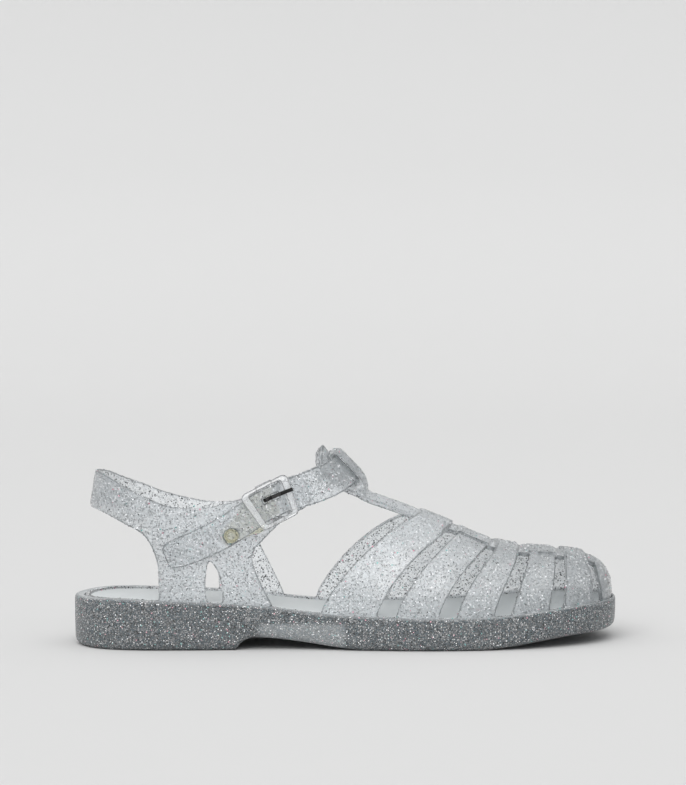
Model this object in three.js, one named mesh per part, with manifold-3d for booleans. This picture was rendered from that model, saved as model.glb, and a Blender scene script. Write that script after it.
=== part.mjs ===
// Flat moulded sandal with a woven cage toe, T-bar and buckled ankle strap: right shoe.
// Millimetres. +X points to the toe, -Y is the outer (buckle) side, +Z is up, and the floor is z = 0.
import * as THREE from "three";
import Module from "manifold-3d";

// Driving sizes.
const soleLength = 260;
const ballWidth = 94;
const instepHeight = 91.4;
const wall = 2;
const gap = 0.3;
const grooveDepth = 4.3;
const insoleThickness = 3;
const insoleDrop = 0.8;
const insoleInset = 0.6;
const toeInset = 1.5;
const weaveRise = 1.2;
const strapWidth = 16.5;
const strapThickness = 1.9;
const keeperThickness = 1.6;
const keeperHalfWidth = 9.5;
const tBarThickness = 2.4;
const buckleLength = 20.5;
const buckleWidth = 20;
const buckleBar = 3.3;
const prongWidth = 1.8;
const studRadius = 3.1;
const ankleLean = THREE.MathUtils.degToRad(46);
const ankleSetBack = 0.8;

// Outline of the sole: along as a share of the length from the middle,
// then the outer and the inner side as shares of ballWidth.
const outlineRows = [
  [-0.5, 0, 0],
  [-0.487, -0.1489, 0.1489],
  [-0.456, -0.25, 0.25],
  [-0.3968, -0.317, 0.3149],
  [-0.3089, -0.3404, 0.3298],
  [-0.2018, -0.3447, 0.3255],
  [-0.0948, -0.3617, 0.3277],
  [0.0122, -0.4106, 0.3766],
  [0.1193, -0.4532, 0.4596],
  [0.2187, -0.4574, 0.517],
  [0.3104, -0.4255, 0.5298],
  [0.3869, -0.3553, 0.4936],
  [0.4459, -0.2489, 0.4106],
  [0.4862, -0.1021, 0.2809],
  [0.5, 0.0851, 0.0851],
];

// Heights along the sole: rim top and underside, as shares of instepHeight.
const rimRows = [
  [-0.5, 0.2565],
  [-0.4312, 0.263],
  [-0.3471, 0.2543],
  [-0.2401, 0.2413],
  [-0.156, 0.2239],
  [-0.0872, 0.1989],
  [-0.0336, 0.1837],
  [0.0428, 0.1739],
  [0.169, 0.1663],
  [0.2492, 0.1707],
  [0.341, 0.1913],
  [0.4174, 0.2109],
  [0.5, 0.2239],
];
const undersideRows = [
  [-0.5, 0],
  [-0.2095, 0],
  [-0.2041, 0.0261],
  [-0.1919, 0.0511],
  [-0.1751, 0.063],
  [-0.1483, 0.0598],
  [-0.0872, 0.0391],
  [-0.0336, 0.0163],
  [0.0199, 0],
  [0.2263, 0],
  [0.2645, 0.0076],
  [0.3028, 0.0207],
  [0.3486, 0.0391],
  [0.4021, 0.0554],
  [0.5, 0.0652],
];

// Width of the rim left outside the upper, in millimetres.
const lipRows = [
  [-0.5, 4.6],
  [-0.3471, 3.6],
  [0.341, 3.4],
  [0.4501, 2.2],
  [0.5, toeInset],
];

// Last: ridge height, ridge offset to the inner side, and roundness of the section over the forefoot.
const ridgeRows = [
  [-0.156, 0.9348, 0, 1.75],
  [0.0734, 0.75, 0.0053, 1.75],
  [0.1384, 0.6761, 0.0085, 1.75],
  [0.1919, 0.613, 0.017, 1.8],
  [0.2263, 0.563, 0.0255, 1.85],
  [0.2645, 0.5196, 0.034, 1.9],
  [0.3219, 0.4848, 0.0489, 1.95],
  [0.3792, 0.4674, 0.0638, 2],
  [0.4251, 0.4533, 0.0745, 2.1],
  [0.4542, 0.4304, 0.0809, 2.1],
  [0.4729, 0.4, 0.0851, 2.1],
  [0.4834, 0.363, 0.0851, 2.1],
  [0.4908, 0.3174, 0.0851, 2.1],
  [0.4931, 0.2228, 0.0851, 2.1],
];

// Cage toe: where each strap edge leaves the rim on the outer side and on the inner side,
// where it crosses the ridge, and what follows it.
const cageRows = [
  [-0.0566, -0.0528, 0.1346, "strap"],
  [0.0428, 0.0485, 0.1957, "window"],
  [0.0772, 0.083, 0.211, "strap"],
  [0.1537, 0.1594, 0.2626, "window"],
  [0.1862, 0.1919, 0.276, "strap"],
  [0.255, 0.2607, 0.318, "window"],
  [0.2875, 0.2932, 0.3353, "strap"],
  [0.3582, 0.3639, 0.383, "window"],
  [0.3869, 0.3907, 0.3983, "strap"],
  [0.4476, 0.4501, 0.4417, "window"],
  [0.4646, 0.4667, 0.4542, "toe"],
  [0.4931, 0.4931, 0.4931, "tip"],
];
const centreStripRows = [
  [0.1116, 0.1117],
  [0.1957, 0.133],
  [0.2836, 0.1489],
  [0.4923, 0.1489],
];

// Ankle ring of the last, seen across the ankle's lean: half width against the distance forward.
const ankleHalfWidth = 0.3298;
const ankleCentre = 0.0435;
const ankleFront = 0.6261;

// Ankle strap from the instep round to the tip: distance forward, up the lean on the outer side,
// half width of the ankle there, and up the lean on the inner side.
const strapRows = [
  [0.6261, 0.6554, 0, 0.6554],
  [0.6011, 0.662, 0.0957, 0.6457],
  [0.5304, 0.6826, 0.1809, 0.6489],
  [0.412, 0.7391, 0.2553, 0.6891],
  [0.2935, 0.8022, 0.2979, 0.7435],
  [0.1902, 0.8457, 0.3191, 0.7826],
  [0.0326, 0.8739, 0.3298, 0.8087],
  [-0.1717, 0.9293, 0.3277, 0.8641],
  [-0.3478, 1.0022, 0.3213, 0.937],
];

// Quarter and heel strap in side view, along and up on the outer side, then along and up on the
// inner side: the edge from the top of the heel over the strap tab and down the front to the rim,
// then the edge from the rim up the back and under the heel strap.
const quarterFrontRows = [
  [-0.4847, 0.913, -0.4847, 0.913],
  [-0.4465, 0.8978, -0.4465, 0.8913],
  [-0.4083, 0.8402, -0.4083, 0.8424],
  [-0.3693, 0.7859, -0.37, 0.8],
  [-0.3314, 0.7424, -0.3318, 0.7587],
  [-0.2829, 0.7304, -0.2821, 0.7217],
  [-0.2278, 0.7522, -0.2362, 0.7022],
  [-0.1713, 0.8109, -0.1942, 0.713],
  [-0.1254, 0.8587, -0.1598, 0.7609],
  [-0.1009, 0.8761, -0.1292, 0.8109],
  [-0.0742, 0.8348, -0.1047, 0.7957],
  [-0.0673, 0.7783, -0.0872, 0.7457],
  [-0.0795, 0.7348, -0.0948, 0.7022],
  [-0.1177, 0.6772, -0.1239, 0.6565],
  [-0.1544, 0.5837, -0.1498, 0.587],
  [-0.1766, 0.5109, -0.159, 0.5261],
  [-0.1797, 0.4609, -0.1567, 0.4826],
  [-0.1671, 0.3576, -0.138, 0.3739],
  [-0.1491, 0.2543, -0.117, 0.25],
  [-0.1384, 0.1848, -0.107, 0.1783],
];
const quarterBackRows = [
  [-0.3486, 0.2152, -0.341, 0.2152],
  [-0.3479, 0.3413, -0.3402, 0.3413],
  [-0.3517, 0.4598, -0.344, 0.4598],
  [-0.3731, 0.587, -0.3662, 0.5848],
  [-0.4129, 0.6543, -0.4129, 0.6543],
  [-0.4541, 0.7087, -0.4541, 0.7087],
  [-0.4924, 0.7239, -0.4924, 0.7239],
];
const slotOutline = [
  [-0.2592, 0.2435],
  [-0.2615, 0.4196],
  [-0.2569, 0.4565],
  [-0.2492, 0.4391],
  [-0.2416, 0.4],
  [-0.2362, 0.35],
  [-0.2339, 0.2826],
  [-0.2347, 0.2435],
];

const wasm = await Module();
wasm.setup();

// Value of a column at a position between rows, without overshoot.
function read(rows, position, column = 1) {
  const last = rows.length - 1;
  const x = Math.min(Math.max(position, rows[0][0]), rows[last][0]);
  let i = 0;
  while (i < last - 1 && x > rows[i + 1][0]) i += 1;
  const slope = (k) => (rows[k + 1][column] - rows[k][column]) / (rows[k + 1][0] - rows[k][0]);
  const tangent = (k) => {
    if (k === 0) return slope(0);
    if (k === last) return slope(last - 1);
    const before = slope(k - 1);
    const after = slope(k);
    return before * after <= 0 ? 0 : (2 * before * after) / (before + after);
  };
  const span = rows[i + 1][0] - rows[i][0];
  const t = (x - rows[i][0]) / span;
  const start = rows[i][column] * (1 + 2 * t) * (1 - t) ** 2 + tangent(i) * span * t * (1 - t) ** 2;
  const end = rows[i + 1][column] * (3 - 2 * t) * t * t + tangent(i + 1) * span * t * t * (t - 1);
  return start + end;
}

const mix = (a, b, t) => a + (b - a) * t;
const ease = (a, b, value) => THREE.MathUtils.smoothstep(value, a, b);

// Closed body from loose triangles: corners joined, flat triangles dropped, faces turned outwards.
function body(points, triangles) {
  const index = new Map();
  const corners = [];
  const place = points.map((p) => {
    const key = [p.x, p.y, p.z].map((v) => Math.round(v * 2000)).join(",");
    if (!index.has(key)) {
      index.set(key, corners.length / 3);
      corners.push(p.x, p.y, p.z);
    }
    return index.get(key);
  });
  const faces = [];
  let volume = 0;
  const a = new THREE.Vector3();
  const b = new THREE.Vector3();
  const c = new THREE.Vector3();
  for (const triangle of triangles) {
    const [i, j, k] = triangle.map((n) => place[n]);
    if (i === j || j === k || k === i) continue;
    faces.push(i, j, k);
    a.fromArray(corners, 3 * i);
    b.fromArray(corners, 3 * j);
    c.fromArray(corners, 3 * k);
    volume += a.dot(b.cross(c));
  }
  if (volume < 0) faces.reverse();
  const mesh = new wasm.Mesh({
    numProp: 3,
    vertProperties: new Float32Array(corners),
    triVerts: new Uint32Array(faces),
  });
  return new wasm.Manifold(mesh);
}

// Two matching grids of points closed into a wall; keep(i, j) tells which cells are filled, and the wall
// is closed off along the others.
function shell(outer, inner, keep = (i) => i >= 0 && i < outer.length - 1) {
  const rows = outer.length;
  const columns = outer[0].length;
  const points = [...outer.flat(), ...inner.flat()];
  const offset = rows * columns;
  const at = (i, j) => i * columns + j;
  const triangles = [];
  const quad = (p, q, r, s) => triangles.push([p, q, r], [p, r, s]);
  const kept = (i, j) => j >= 0 && j < columns - 1 && keep(i, j);
  for (let i = 0; i < rows - 1; i += 1) {
    for (let j = 0; j < columns - 1; j += 1) {
      if (!kept(i, j)) continue;
      const [p, q, r, s] = [at(i, j), at(i + 1, j), at(i + 1, j + 1), at(i, j + 1)];
      quad(p, q, r, s);
      quad(s + offset, r + offset, q + offset, p + offset);
      if (!kept(i, j - 1)) quad(q, p, p + offset, q + offset);
      if (!kept(i + 1, j)) quad(r, q, q + offset, r + offset);
      if (!kept(i, j + 1)) quad(s, r, r + offset, s + offset);
      if (!kept(i - 1, j)) quad(p, s, s + offset, p + offset);
    }
  }
  return body(points, triangles);
}

// Closed stack of loops; each loop runs up one side and back down the other,
// so its caps close straight across.
function stack(loops) {
  const count = loops[0].length;
  const points = loops.flat();
  const triangles = [];
  for (let k = 0; k < loops.length - 1; k += 1) {
    for (let i = 0; i < count; i += 1) {
      const j = (i + 1) % count;
      const [p, q, r, s] = [k * count + i, k * count + j, (k + 1) * count + j, (k + 1) * count + i];
      triangles.push([p, q, r], [p, r, s]);
    }
  }
  const top = (loops.length - 1) * count;
  for (let i = 0; i < count / 2; i += 1) {
    const [a, b, c, d] = [i, i + 1, count - i - 1, (count - i) % count];
    triangles.push([a, c, b], [a, d, c]);
    triangles.push([top + a, top + b, top + c], [top + a, top + c, top + d]);
  }
  return body(points, triangles);
}

// Flat outline pushed along a depth, each point then placed by the function given.
function prism(outline, depth, steps, placeAt) {
  const shape = new THREE.Shape(outline.map(([u, v]) => new THREE.Vector2(u, v)));
  const geometry = new THREE.ExtrudeGeometry(shape, { depth, steps, bevelEnabled: false });
  const position = geometry.getAttribute("position");
  const points = [];
  const triangles = [];
  for (let i = 0; i < position.count; i += 1) {
    points.push(placeAt(position.getX(i), position.getY(i), position.getZ(i)));
    if (i % 3 === 2) triangles.push([i - 2, i - 1, i]);
  }
  return body(points, triangles);
}

const join = (...bodies) => bodies.reduce((whole, next) => whole.add(next));

// Sole outline as one closed curve, heel tip to toe tip along the outer side and back along the inner side.
const outlineCurve = new THREE.CatmullRomCurve3(
  [
    ...outlineRows.map(([along, outer]) => new THREE.Vector3(along * soleLength, outer * ballWidth, 0)),
    ...outlineRows.slice(1, -1).reverse()
      .map(([along, , inner]) => new THREE.Vector3(along * soleLength, inner * ballWidth, 0)),
  ],
  true,
  "centripetal",
);

// Point on the outline moved inwards; side is -1 for the outer and 1 for the inner side,
// and t runs from heel to toe.
function edge(side, t, inset) {
  const u = side < 0 ? t / 2 : (1 - t / 2) % 1;
  const point = outlineCurve.getPoint(u);
  const tangent = outlineCurve.getTangent(u);
  return new THREE.Vector3(point.x - tangent.y * inset, point.y + tangent.x * inset, 0);
}

const rimAt = (x) => read(rimRows, x / soleLength) * instepHeight;
const undersideAt = (x) => read(undersideRows, x / soleLength) * instepHeight;
const lipAt = (x) => read(lipRows, x / soleLength);

// Outer face of the upper at the rim, on each side, as a function of the distance along.
const feather = [-1, 1].map((side) => {
  const rows = [];
  for (let i = 0; i <= 240; i += 1) {
    const t = i / 240;
    const { x } = edge(side, t, 0);
    const point = edge(side, t, lipAt(x) + gap);
    rows.push([point.x, point.y]);
  }
  return rows;
});
const featherTip = feather[0][240][0];
const featherHeel = feather[0][0][0];
function featherAt(side, x) {
  const rows = feather[side < 0 ? 0 : 1];
  let low = 0;
  let high = rows.length - 1;
  while (high - low > 1) {
    const middle = (low + high) >> 1;
    if (rows[middle][0] > x) high = middle;
    else low = middle;
  }
  const share = (x - rows[low][0]) / (rows[high][0] - rows[low][0]);
  return mix(rows[low][1], rows[high][1], THREE.MathUtils.clamp(share, 0, 1));
}

// Outer surface of the cage toe: a section at each distance along, read between rim and ridge.
function forefoot(side, bottom, ridge, turn) {
  const reach = featherTip / (ridgeRows[ridgeRows.length - 1][0] * soleLength);
  const roundness = read(ridgeRows, ridge, 3);
  const rise = Math.sin(turn) ** (2 / roundness);
  const x = mix(bottom, ridge, rise ** read(cageLean, ridge)) * soleLength * reach;
  const share = x / soleLength / reach;
  const centre = read(ridgeRows, share, 2) * ballWidth;
  const rim = featherAt(side, x);
  const y = mix(centre, rim, Math.max(Math.cos(turn), 0) ** (2 / roundness));
  return new THREE.Vector3(x, y, mix(rimAt(x), read(ridgeRows, share) * instepHeight, rise));
}
const cageLean = [
  [0.1346, 1.3],
  [0.3028, 1.3],
  [0.4584, 1],
];

// Cage surface: band counts the rows of cageRows; across runs from -2 (outer rim) over 0 (ridge)
// to 2 (inner rim), with the edges of the centre strip at -1 and 1.
function cage(band, across) {
  const k = Math.min(Math.floor(band), cageRows.length - 2);
  const side = across < 0 ? -1 : 1;
  const column = across < 0 ? 0 : 1;
  const bottom = mix(cageRows[k][column], cageRows[k + 1][column], band - k);
  const ridge = mix(cageRows[k][2], cageRows[k + 1][2], band - k);
  const centre = read(ridgeRows, ridge, 2) * ballWidth;
  const halfWidth = Math.abs(featherAt(side, ridge * soleLength) - centre);
  const strip = Math.min((read(centreStripRows, ridge) * ballWidth) / Math.max(halfWidth, 0.01), 0.7);
  const stripTurn = Math.acos(strip ** (read(ridgeRows, ridge, 3) / 2));
  const from = Math.abs(across);
  const turn = from <= 1 ? mix(Math.PI / 2, stripTurn, from) : mix(stripTurn, 0, from - 1);
  return forefoot(side, bottom, ridge, turn);
}

// The same surface moved out along its normal.
function cageLifted(band, across, lift) {
  const step = 0.02;
  const last = cageRows.length - 1;
  const point = cage(band, across);
  const along = cage(Math.min(band + step, last), across).sub(cage(Math.max(band - step, 0), across));
  const over = cage(band, Math.min(across + step, 2)).sub(cage(band, Math.max(across - step, -2)));
  const normal = over.cross(along).negate();
  if (band > last - 0.001) {
    const tip = read(ridgeRows, ridgeRows[ridgeRows.length - 1][0], 2) * ballWidth;
    return new THREE.Vector3(point.x + lift, tip, rimAt(point.x));
  }
  return point.addScaledVector(normal.normalize(), lift);
}

// Ring that joins every strap below the rim, and the cage toe that rises from its front part.
function cageAndRing() {
  const heelSteps = 16;
  const bands = [];
  const kinds = [];
  for (let k = 0; k < cageRows.length - 1; k += 1) {
    const kind = cageRows[k][3];
    const steps = { strap: 2, window: 1, toe: 4 }[kind];
    for (let n = 0; n < steps; n += 1) {
      bands.push(kind === "toe" ? k + Math.sin((n / steps) * (Math.PI / 2)) : k + n / steps);
      kinds.push(kind);
    }
  }
  bands.push(cageRows.length - 1);
  const across = [-2, -1.78, -1.5, -1.25, -1, -0.5, 0, 0.5, 1, 1.25, 1.5, 1.78, 2];
  const ringPoint = (side, i, height, inset) => {
    const bottom = cageRows[0][side < 0 ? 0 : 1] * soleLength;
    const rows = feather[side < 0 ? 0 : 1];
    const end = rows.findIndex(([x]) => x >= bottom) / 240;
    const t = (end * i) / heelSteps;
    const { x } = edge(side, t, 0);
    const point = edge(side, t, lipAt(x) + gap + inset);
    return point.setZ(rimAt(point.x) - height);
  };
  const build = (inset) => {
    const rows = [];
    for (let i = 0; i < heelSteps; i += 1) {
      const row = [ringPoint(-1, i, grooveDepth - gap, inset)];
      for (const a of across) row.push(ringPoint(a < 0 ? -1 : 1, i, 0, inset));
      row.push(ringPoint(1, i, grooveDepth - gap, inset));
      rows.push(row);
    }
    for (const band of bands) {
      const row = across.map((a) => cageLifted(band, a, -inset));
      const lower = (p) => p.clone().setZ(rimAt(p.x) - grooveDepth + gap);
      rows.push([lower(row[0]), ...row, lower(row[row.length - 1])]);
    }
    return rows;
  };
  const lastCell = across.length;
  const keep = (i, j) => {
    if (j === 0 || j === lastCell) return true;
    if (i < heelSteps) return false;
    return kinds[i - heelSteps] !== "window" || (across[j - 1] >= -1 && across[j] <= 1);
  };
  return shell(build(0), build(wall), keep);
}

// Raised weave: a strap over the centre strip, or the centre strip over a strap.
function weavePad(bandFrom, bandTo, reach, rise, steps) {
  const row = (band, lower) => {
    const points = [];
    for (let n = 0; n <= 8; n += 1) {
      const a = mix(-reach, reach, n / 8);
      points.push(cageLifted(band, a, lower ? -wall / 2 : rise(band, Math.abs(a))));
    }
    return points;
  };
  const bands = [...Array(steps + 1)].map((_, n) => mix(bandFrom, bandTo, n / steps));
  return shell(bands.map((band) => row(band, false)), bands.map((band) => row(band, true)));
}
function weave() {
  const pads = [];
  cageRows.forEach(([, , , kind], k) => {
    if (kind !== "strap") return;
    if ((k / 2) % 2 === 0) {
      const rise = (band, a) => mix(weaveRise, -0.3, ease(1.02, 1.4, a));
      pads.push(weavePad(k + 0.06, k + 0.94, 1.45, rise, 2));
    } else {
      const rise = (band) => mix(weaveRise, -0.3, ease(0.35, 1.05, Math.abs(band - k - 0.5)));
      pads.push(weavePad(k - 0.5, k + 1.5, 0.97, rise, 8));
    }
  });
  return pads;
}

// Ankle ring: forward and up the lean become along and up, and half width at any point of the side view.
const stretch = (soleLength / instepHeight) * 0.3516;
function onLean(forward, up) {
  const back = up * Math.cos(ankleLean) - forward * Math.sin(ankleLean);
  const x = -back * instepHeight * stretch - ankleSetBack;
  const z = (forward * Math.cos(ankleLean) + up * Math.sin(ankleLean)) * instepHeight;
  return new THREE.Vector3(x, 0, z);
}
const quarterStart = -0.3547;
const quarterRows = [
  [quarterStart, 0.94],
  [-0.2324, 0.985],
  [-0.156, 1],
  [0.2263, 1],
];
const heelRows = [
  [0.1522, -0.4786],
  [0.7174, -0.471],
  [0.8152, -0.4664],
  [0.913, -0.461],
];
function halfWidthAt(side, x, z) {
  const along = (x + ankleSetBack) / stretch;
  const forward = (along * Math.sin(ankleLean) + z * Math.cos(ankleLean)) / instepHeight;
  const share = THREE.MathUtils.clamp((forward - ankleCentre) / (ankleFront - ankleCentre), 0, 1);
  const full = ankleHalfWidth * ballWidth * read(quarterRows, x / soleLength);
  const ring = full * Math.sqrt(1 - share * share);
  return mix(Math.abs(featherAt(side, x)), ring, ease(0.2174, 0.6522, z / instepHeight));
}

// Quarter wall from the back of the heel (turn 0) to the front of one side (turn 2) at a height.
function quarterPoint(side, turn, z) {
  const join = quarterStart * soleLength;
  if (turn <= 1) {
    const back = read(heelRows, z / instepHeight) * soleLength;
    const angle = (turn * Math.PI) / 2;
    const x = join - (join - back) * Math.cos(angle) ** 0.9;
    return new THREE.Vector3(x, side * halfWidthAt(side, join, z) * Math.sin(angle) ** 0.9, z);
  }
  const reach = 0.587 * instepHeight - z * Math.cos(ankleLean);
  const ankleEnd = (reach / Math.sin(ankleLean)) * stretch - ankleSetBack;
  const end = Math.min(ankleEnd, -0.0375 * soleLength);
  const x = mix(join, Math.max(end, join + 20), turn - 1);
  return new THREE.Vector3(x, side * halfWidthAt(side, x, z), z);
}
function quarters() {
  const turns = [0, 0.16, 0.32, 0.48, 0.64, 0.82, 1, 1.14, 1.28, 1.42, 1.56, 1.68, 1.78, 1.86, 1.93, 2];
  const columns = [
    ...turns.slice(1).reverse().map((turn) => [-1, turn]),
    ...turns.map((turn) => [1, turn]),
  ];
  const heights = [13, 21, 28, 35, 42, 49, 56, 62, 68, 74, 80, 86].map((z) => (z / 92) * instepHeight);
  const build = (inset) =>
    heights.map((z) =>
      columns.map(([side, turn]) => {
        const step = 0.02;
        const point = quarterPoint(side, turn, z);
        const ahead = quarterPoint(side, Math.min(turn + step, 2), z);
        const behind = turn > 0 ? quarterPoint(side, turn - step, z) : quarterPoint(-side, step, z);
        const above = quarterPoint(side, turn, z + step).sub(quarterPoint(side, turn, z - step));
        const normal = above.cross(ahead.sub(behind)).multiplyScalar(side).normalize();
        return point.addScaledVector(normal, -inset);
      }),
    );
  const sheet = shell(build(0.05), build(wall - 0.05));
  const curve = (rows, column, count) =>
    new THREE.SplineCurve(
      rows.map((row) => new THREE.Vector2(row[column] * soleLength, row[column + 1] * instepHeight)),
    ).getPoints(count);
  const sideView = (column) =>
    [...curve(quarterFrontRows, column, 44), ...curve(quarterBackRows, column, 14)].map((p) => [p.x, p.y]);
  const outer = prism(sideView(0), 70, 1, (u, v, d) => new THREE.Vector3(u, 0.01 - d, v));
  const inner = prism(sideView(2), 70, 1, (u, v, d) => new THREE.Vector3(u, d - 0.01, v));
  const slot = slotOutline.map(([along, up]) => [along * soleLength, up * instepHeight]);
  const slots = prism(slot, 140, 1, (u, v, d) => new THREE.Vector3(u, 70 - d, v));
  return sheet.intersect(outer.add(inner)).subtract(slots);
}

// Line of the ankle strap on the ankle ring: tip, buckle, instep, and down into the inner quarter.
const strapLine = (() => {
  const station = (side) => ([forward, outerUp, , innerUp]) => {
    const point = onLean(forward, side < 0 ? outerUp : innerUp);
    return point.setY(side * halfWidthAt(side, point.x, point.z));
  };
  const outer = strapRows.slice(1).reverse().map(station(-1));
  const inner = strapRows.slice(1, -2).map(station(1));
  const instep = onLean(strapRows[0][0], strapRows[0][1]);
  return new THREE.CatmullRomCurve3([...outer, instep, ...inner], false, "centripetal");
})();
const strapLength = strapLine.getLength();
const tipToInstep = (() => {
  let low = 0;
  let high = 1;
  for (let n = 0; n < 40; n += 1) {
    const middle = (low + high) / 2;
    if (strapLine.getPointAt(middle).y < 0) low = middle;
    else high = middle;
  }
  return low * strapLength;
})();

// Point on the strap: run in millimetres from the instep (negative to the tip), across its width,
// and lift off the ring.
function onStrap(run, across, lift) {
  const u = THREE.MathUtils.clamp((run + tipToInstep) / strapLength, 0, 1);
  const point = strapLine.getPointAt(u);
  const tangent = strapLine.getTangentAt(u);
  const lean = new THREE.Vector3(-Math.cos(ankleLean), 0, Math.sin(ankleLean));
  const width = lean.addScaledVector(tangent, -lean.dot(tangent)).normalize();
  const normal = tangent.clone().cross(width);
  return point.addScaledVector(width, across).addScaledVector(normal, lift);
}

// T-bar from the cage's ridge to the flap under the ankle strap: along, up, half width.
const tBarRows = [
  [0.1766, 0.6261, 0.1064],
  [0.1422, 0.6717, 0.1106],
  [0.104, 0.7185, 0.1085],
  [0.0696, 0.7543, 0.1064],
  [0.0482, 0.775, 0.1064],
  [0.0359, 0.7935, 0.1128],
  [0.0245, 0.8207, 0.1277],
  [0.0115, 0.8565, 0.1532],
  [-0.0023, 0.8978, 0.166],
  [-0.0191, 0.9467, 0.1702],
  [-0.0306, 0.9804, 0.1617],
  [-0.0382, 1.0033, 0.1277],
  [-0.0428, 1.0196, 0.0745],
  [-0.0447, 1.0261, 0.0266],
];
// How far a crosswise section of the instep falls at a distance from the middle.
function crown(y) {
  const share = Math.min(Math.abs(y) / (ankleHalfWidth * ballWidth), 0.98);
  return (ankleFront - ankleCentre) * instepHeight * (1 - Math.sqrt(1 - share * share));
}
function tBar() {
  const path = tBarRows.map(([along, up]) => new THREE.Vector2(along * soleLength, up * instepHeight));
  const build = (inset) =>
    tBarRows.map(([, , half], i) => {
      const ahead = path[Math.min(i + 1, path.length - 1)];
      const back = path[Math.max(i - 1, 0)];
      const direction = ahead.clone().sub(back).normalize();
      return [-1, -0.75, -0.5, -0.25, 0, 0.25, 0.5, 0.75, 1].map((share) => {
        const y = share * half * ballWidth;
        const drop = crown(y) + inset;
        return new THREE.Vector3(path[i].x - direction.y * drop, y, path[i].y + direction.x * drop);
      });
    });
  return shell(build(0), build(tBarThickness));
}

// Keeper over the ankle strap: its side profile, up the lean and forward, carried across
// and bent to the instep.
const keeperOutline = [
  [0.4826, 0.6196],
  [0.5043, 0.6478],
  [0.5326, 0.6663],
  [0.5609, 0.6783],
  [0.5913, 0.6815],
  [0.7261, 0.6815],
  [0.7478, 0.6772],
  [0.762, 0.662],
  [0.7674, 0.6196],
  [0.75, 0.6196],
  [0.7478, 0.6565],
  [0.7413, 0.6641],
  [0.5826, 0.6641],
  [0.5652, 0.6565],
  [0.563, 0.6196],
];
function keeper() {
  const width = 2 * keeperHalfWidth;
  return prism(keeperOutline, width, 8, (up, forward, depth) => {
    const y = depth - keeperHalfWidth;
    const side = Math.abs(y) / keeperHalfWidth;
    const lowered = forward - (crown(y) + (forward > 0.6413 ? 0.4 * side ** 4 : 0)) / instepHeight;
    return onLean(lowered, up).setY(y);
  });
}

// Ankle strap: lift off the ring and half width along its run.
const buckleRun = -53.7;
const pinAcross = 2;
const studRun = -76.8;
const studAcross = -3.4;
const strapLiftRows = [
  [-110, 0.5],
  [-98, 0.5],
  [-88, 1.2],
  [-83, 2.4],
  [buckleRun - 6.4, 2.4],
  [buckleRun - 2.4, 5.3],
  [buckleRun + 2.4, 5.3],
  [buckleRun + 6.4, 2.2],
  [-40, 1.6],
  [-30, 0.6],
  [-20, 0.4],
  [18, 0.4],
  [26, 0.2],
  [39, -wall + 0.04],
  [64, -wall + 0.04],
];
const strapHalfRows = [
  [-109.6, 1.6],
  [-108.8, 4],
  [-106.6, 5.8],
  [-103, 6.8],
  [-96, 7.1],
  [-80, 7.3],
  [-62, 7.3],
  [-45, 7.3],
  [-38, 7.6],
  [-30, 7.9],
  [40, 7.9],
  [64, 7.4],
];
function ankleStrap() {
  const tip = [-109.6, -108.8, -106.6, -103, -98, -93, -88, -83, -76, -69, -64];
  const underPin = [-7, -5.6, -4.2, -2.8, -1.4, 0, 1.4, 2.8, 4.2, 5.6, 7].map((step) => buckleRun + step);
  const rest = [...Array(18)].map((_, i) => -43.5 + i * 5);
  const runs = [...tip, ...underPin, ...rest];
  const build = (extra) =>
    runs.map((run) =>
      [-1, -0.5, 0, 0.5, 1].map((share) =>
        onStrap(run, share * read(strapHalfRows, run), read(strapLiftRows, run) + extra)));
  const strap = shell(build(strapThickness), build(0));
  const slotBox = roundedBox(buckleRun + 0.6, pinAcross, 4, 1.5, 0.8);
  const slot = plate(slotBox, 3, 10);
  const eye = plate(disc(studRun, studAcross, studRadius + 0.5), 1.2, 6);
  return strap.subtract(slot).subtract(eye);
}

// Outline lying on the strap line, given as run and across, thickened between two lifts.
function plate(outline, low, high) {
  return prism(outline, high - low, 1, (run, across, depth) => onStrap(run, across, low + depth));
}
// Strip between two lifts; its rows give the run and the two edges across.
function ribbon(rows, low, high) {
  const build = (lift) => rows.map(([run, from, to]) =>
    [0, 0.25, 0.5, 0.75, 1].map((share) => onStrap(run, mix(from, to, share), lift)));
  return shell(build(high), build(low));
}
// Side profile given as run and lift, carried across the strap.
function bar(profile, from, to) {
  return prism(profile, to - from, 1, (run, lift, depth) => onStrap(run, from + depth, lift));
}
function disc(run, across, radius, count = 18) {
  return [...Array(count)].map((_, i) => {
    const angle = (i / count) * 2 * Math.PI;
    return [run + radius * Math.cos(angle), across + radius * Math.sin(angle)];
  });
}
function roundedBox(run, across, halfRun, halfAcross, radius) {
  const points = [];
  for (let corner = 0; corner < 4; corner += 1) {
    const middle = [[1, 1], [-1, 1], [-1, -1], [1, -1]][corner];
    for (let n = 0; n <= 3; n += 1) {
      const angle = ((corner + n / 3) * Math.PI) / 2;
      points.push([
        run + middle[0] * (halfRun - radius) + radius * Math.cos(angle),
        across + middle[1] * (halfAcross - radius) + radius * Math.sin(angle),
      ]);
    }
  }
  return points;
}

// Buckle frame: rounded outer ring with a centre bar below it for the loop and the prong.
function buckleFrame() {
  const halfRun = buckleLength / 2;
  const halfAcross = buckleWidth / 2;
  const ring = plate(roundedBox(buckleRun, 0, halfRun, halfAcross, 2.6), 5, 7.6)
    .subtract(plate(roundedBox(buckleRun, 0, halfRun - buckleBar, halfAcross - 1.9, 1), 4, 9));
  const post = (side) => {
    const outline = roundedBox(buckleRun, side * (halfAcross - 1), 3.2, 0.96, 0.5);
    return plate(outline, 2.4, 6);
  };
  const centre = plate(roundedBox(buckleRun, 0, 1.3, halfAcross - 0.3, 0.3), 2.4, 3.9);
  return join(ring, post(-1), post(1), centre);
}

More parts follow.
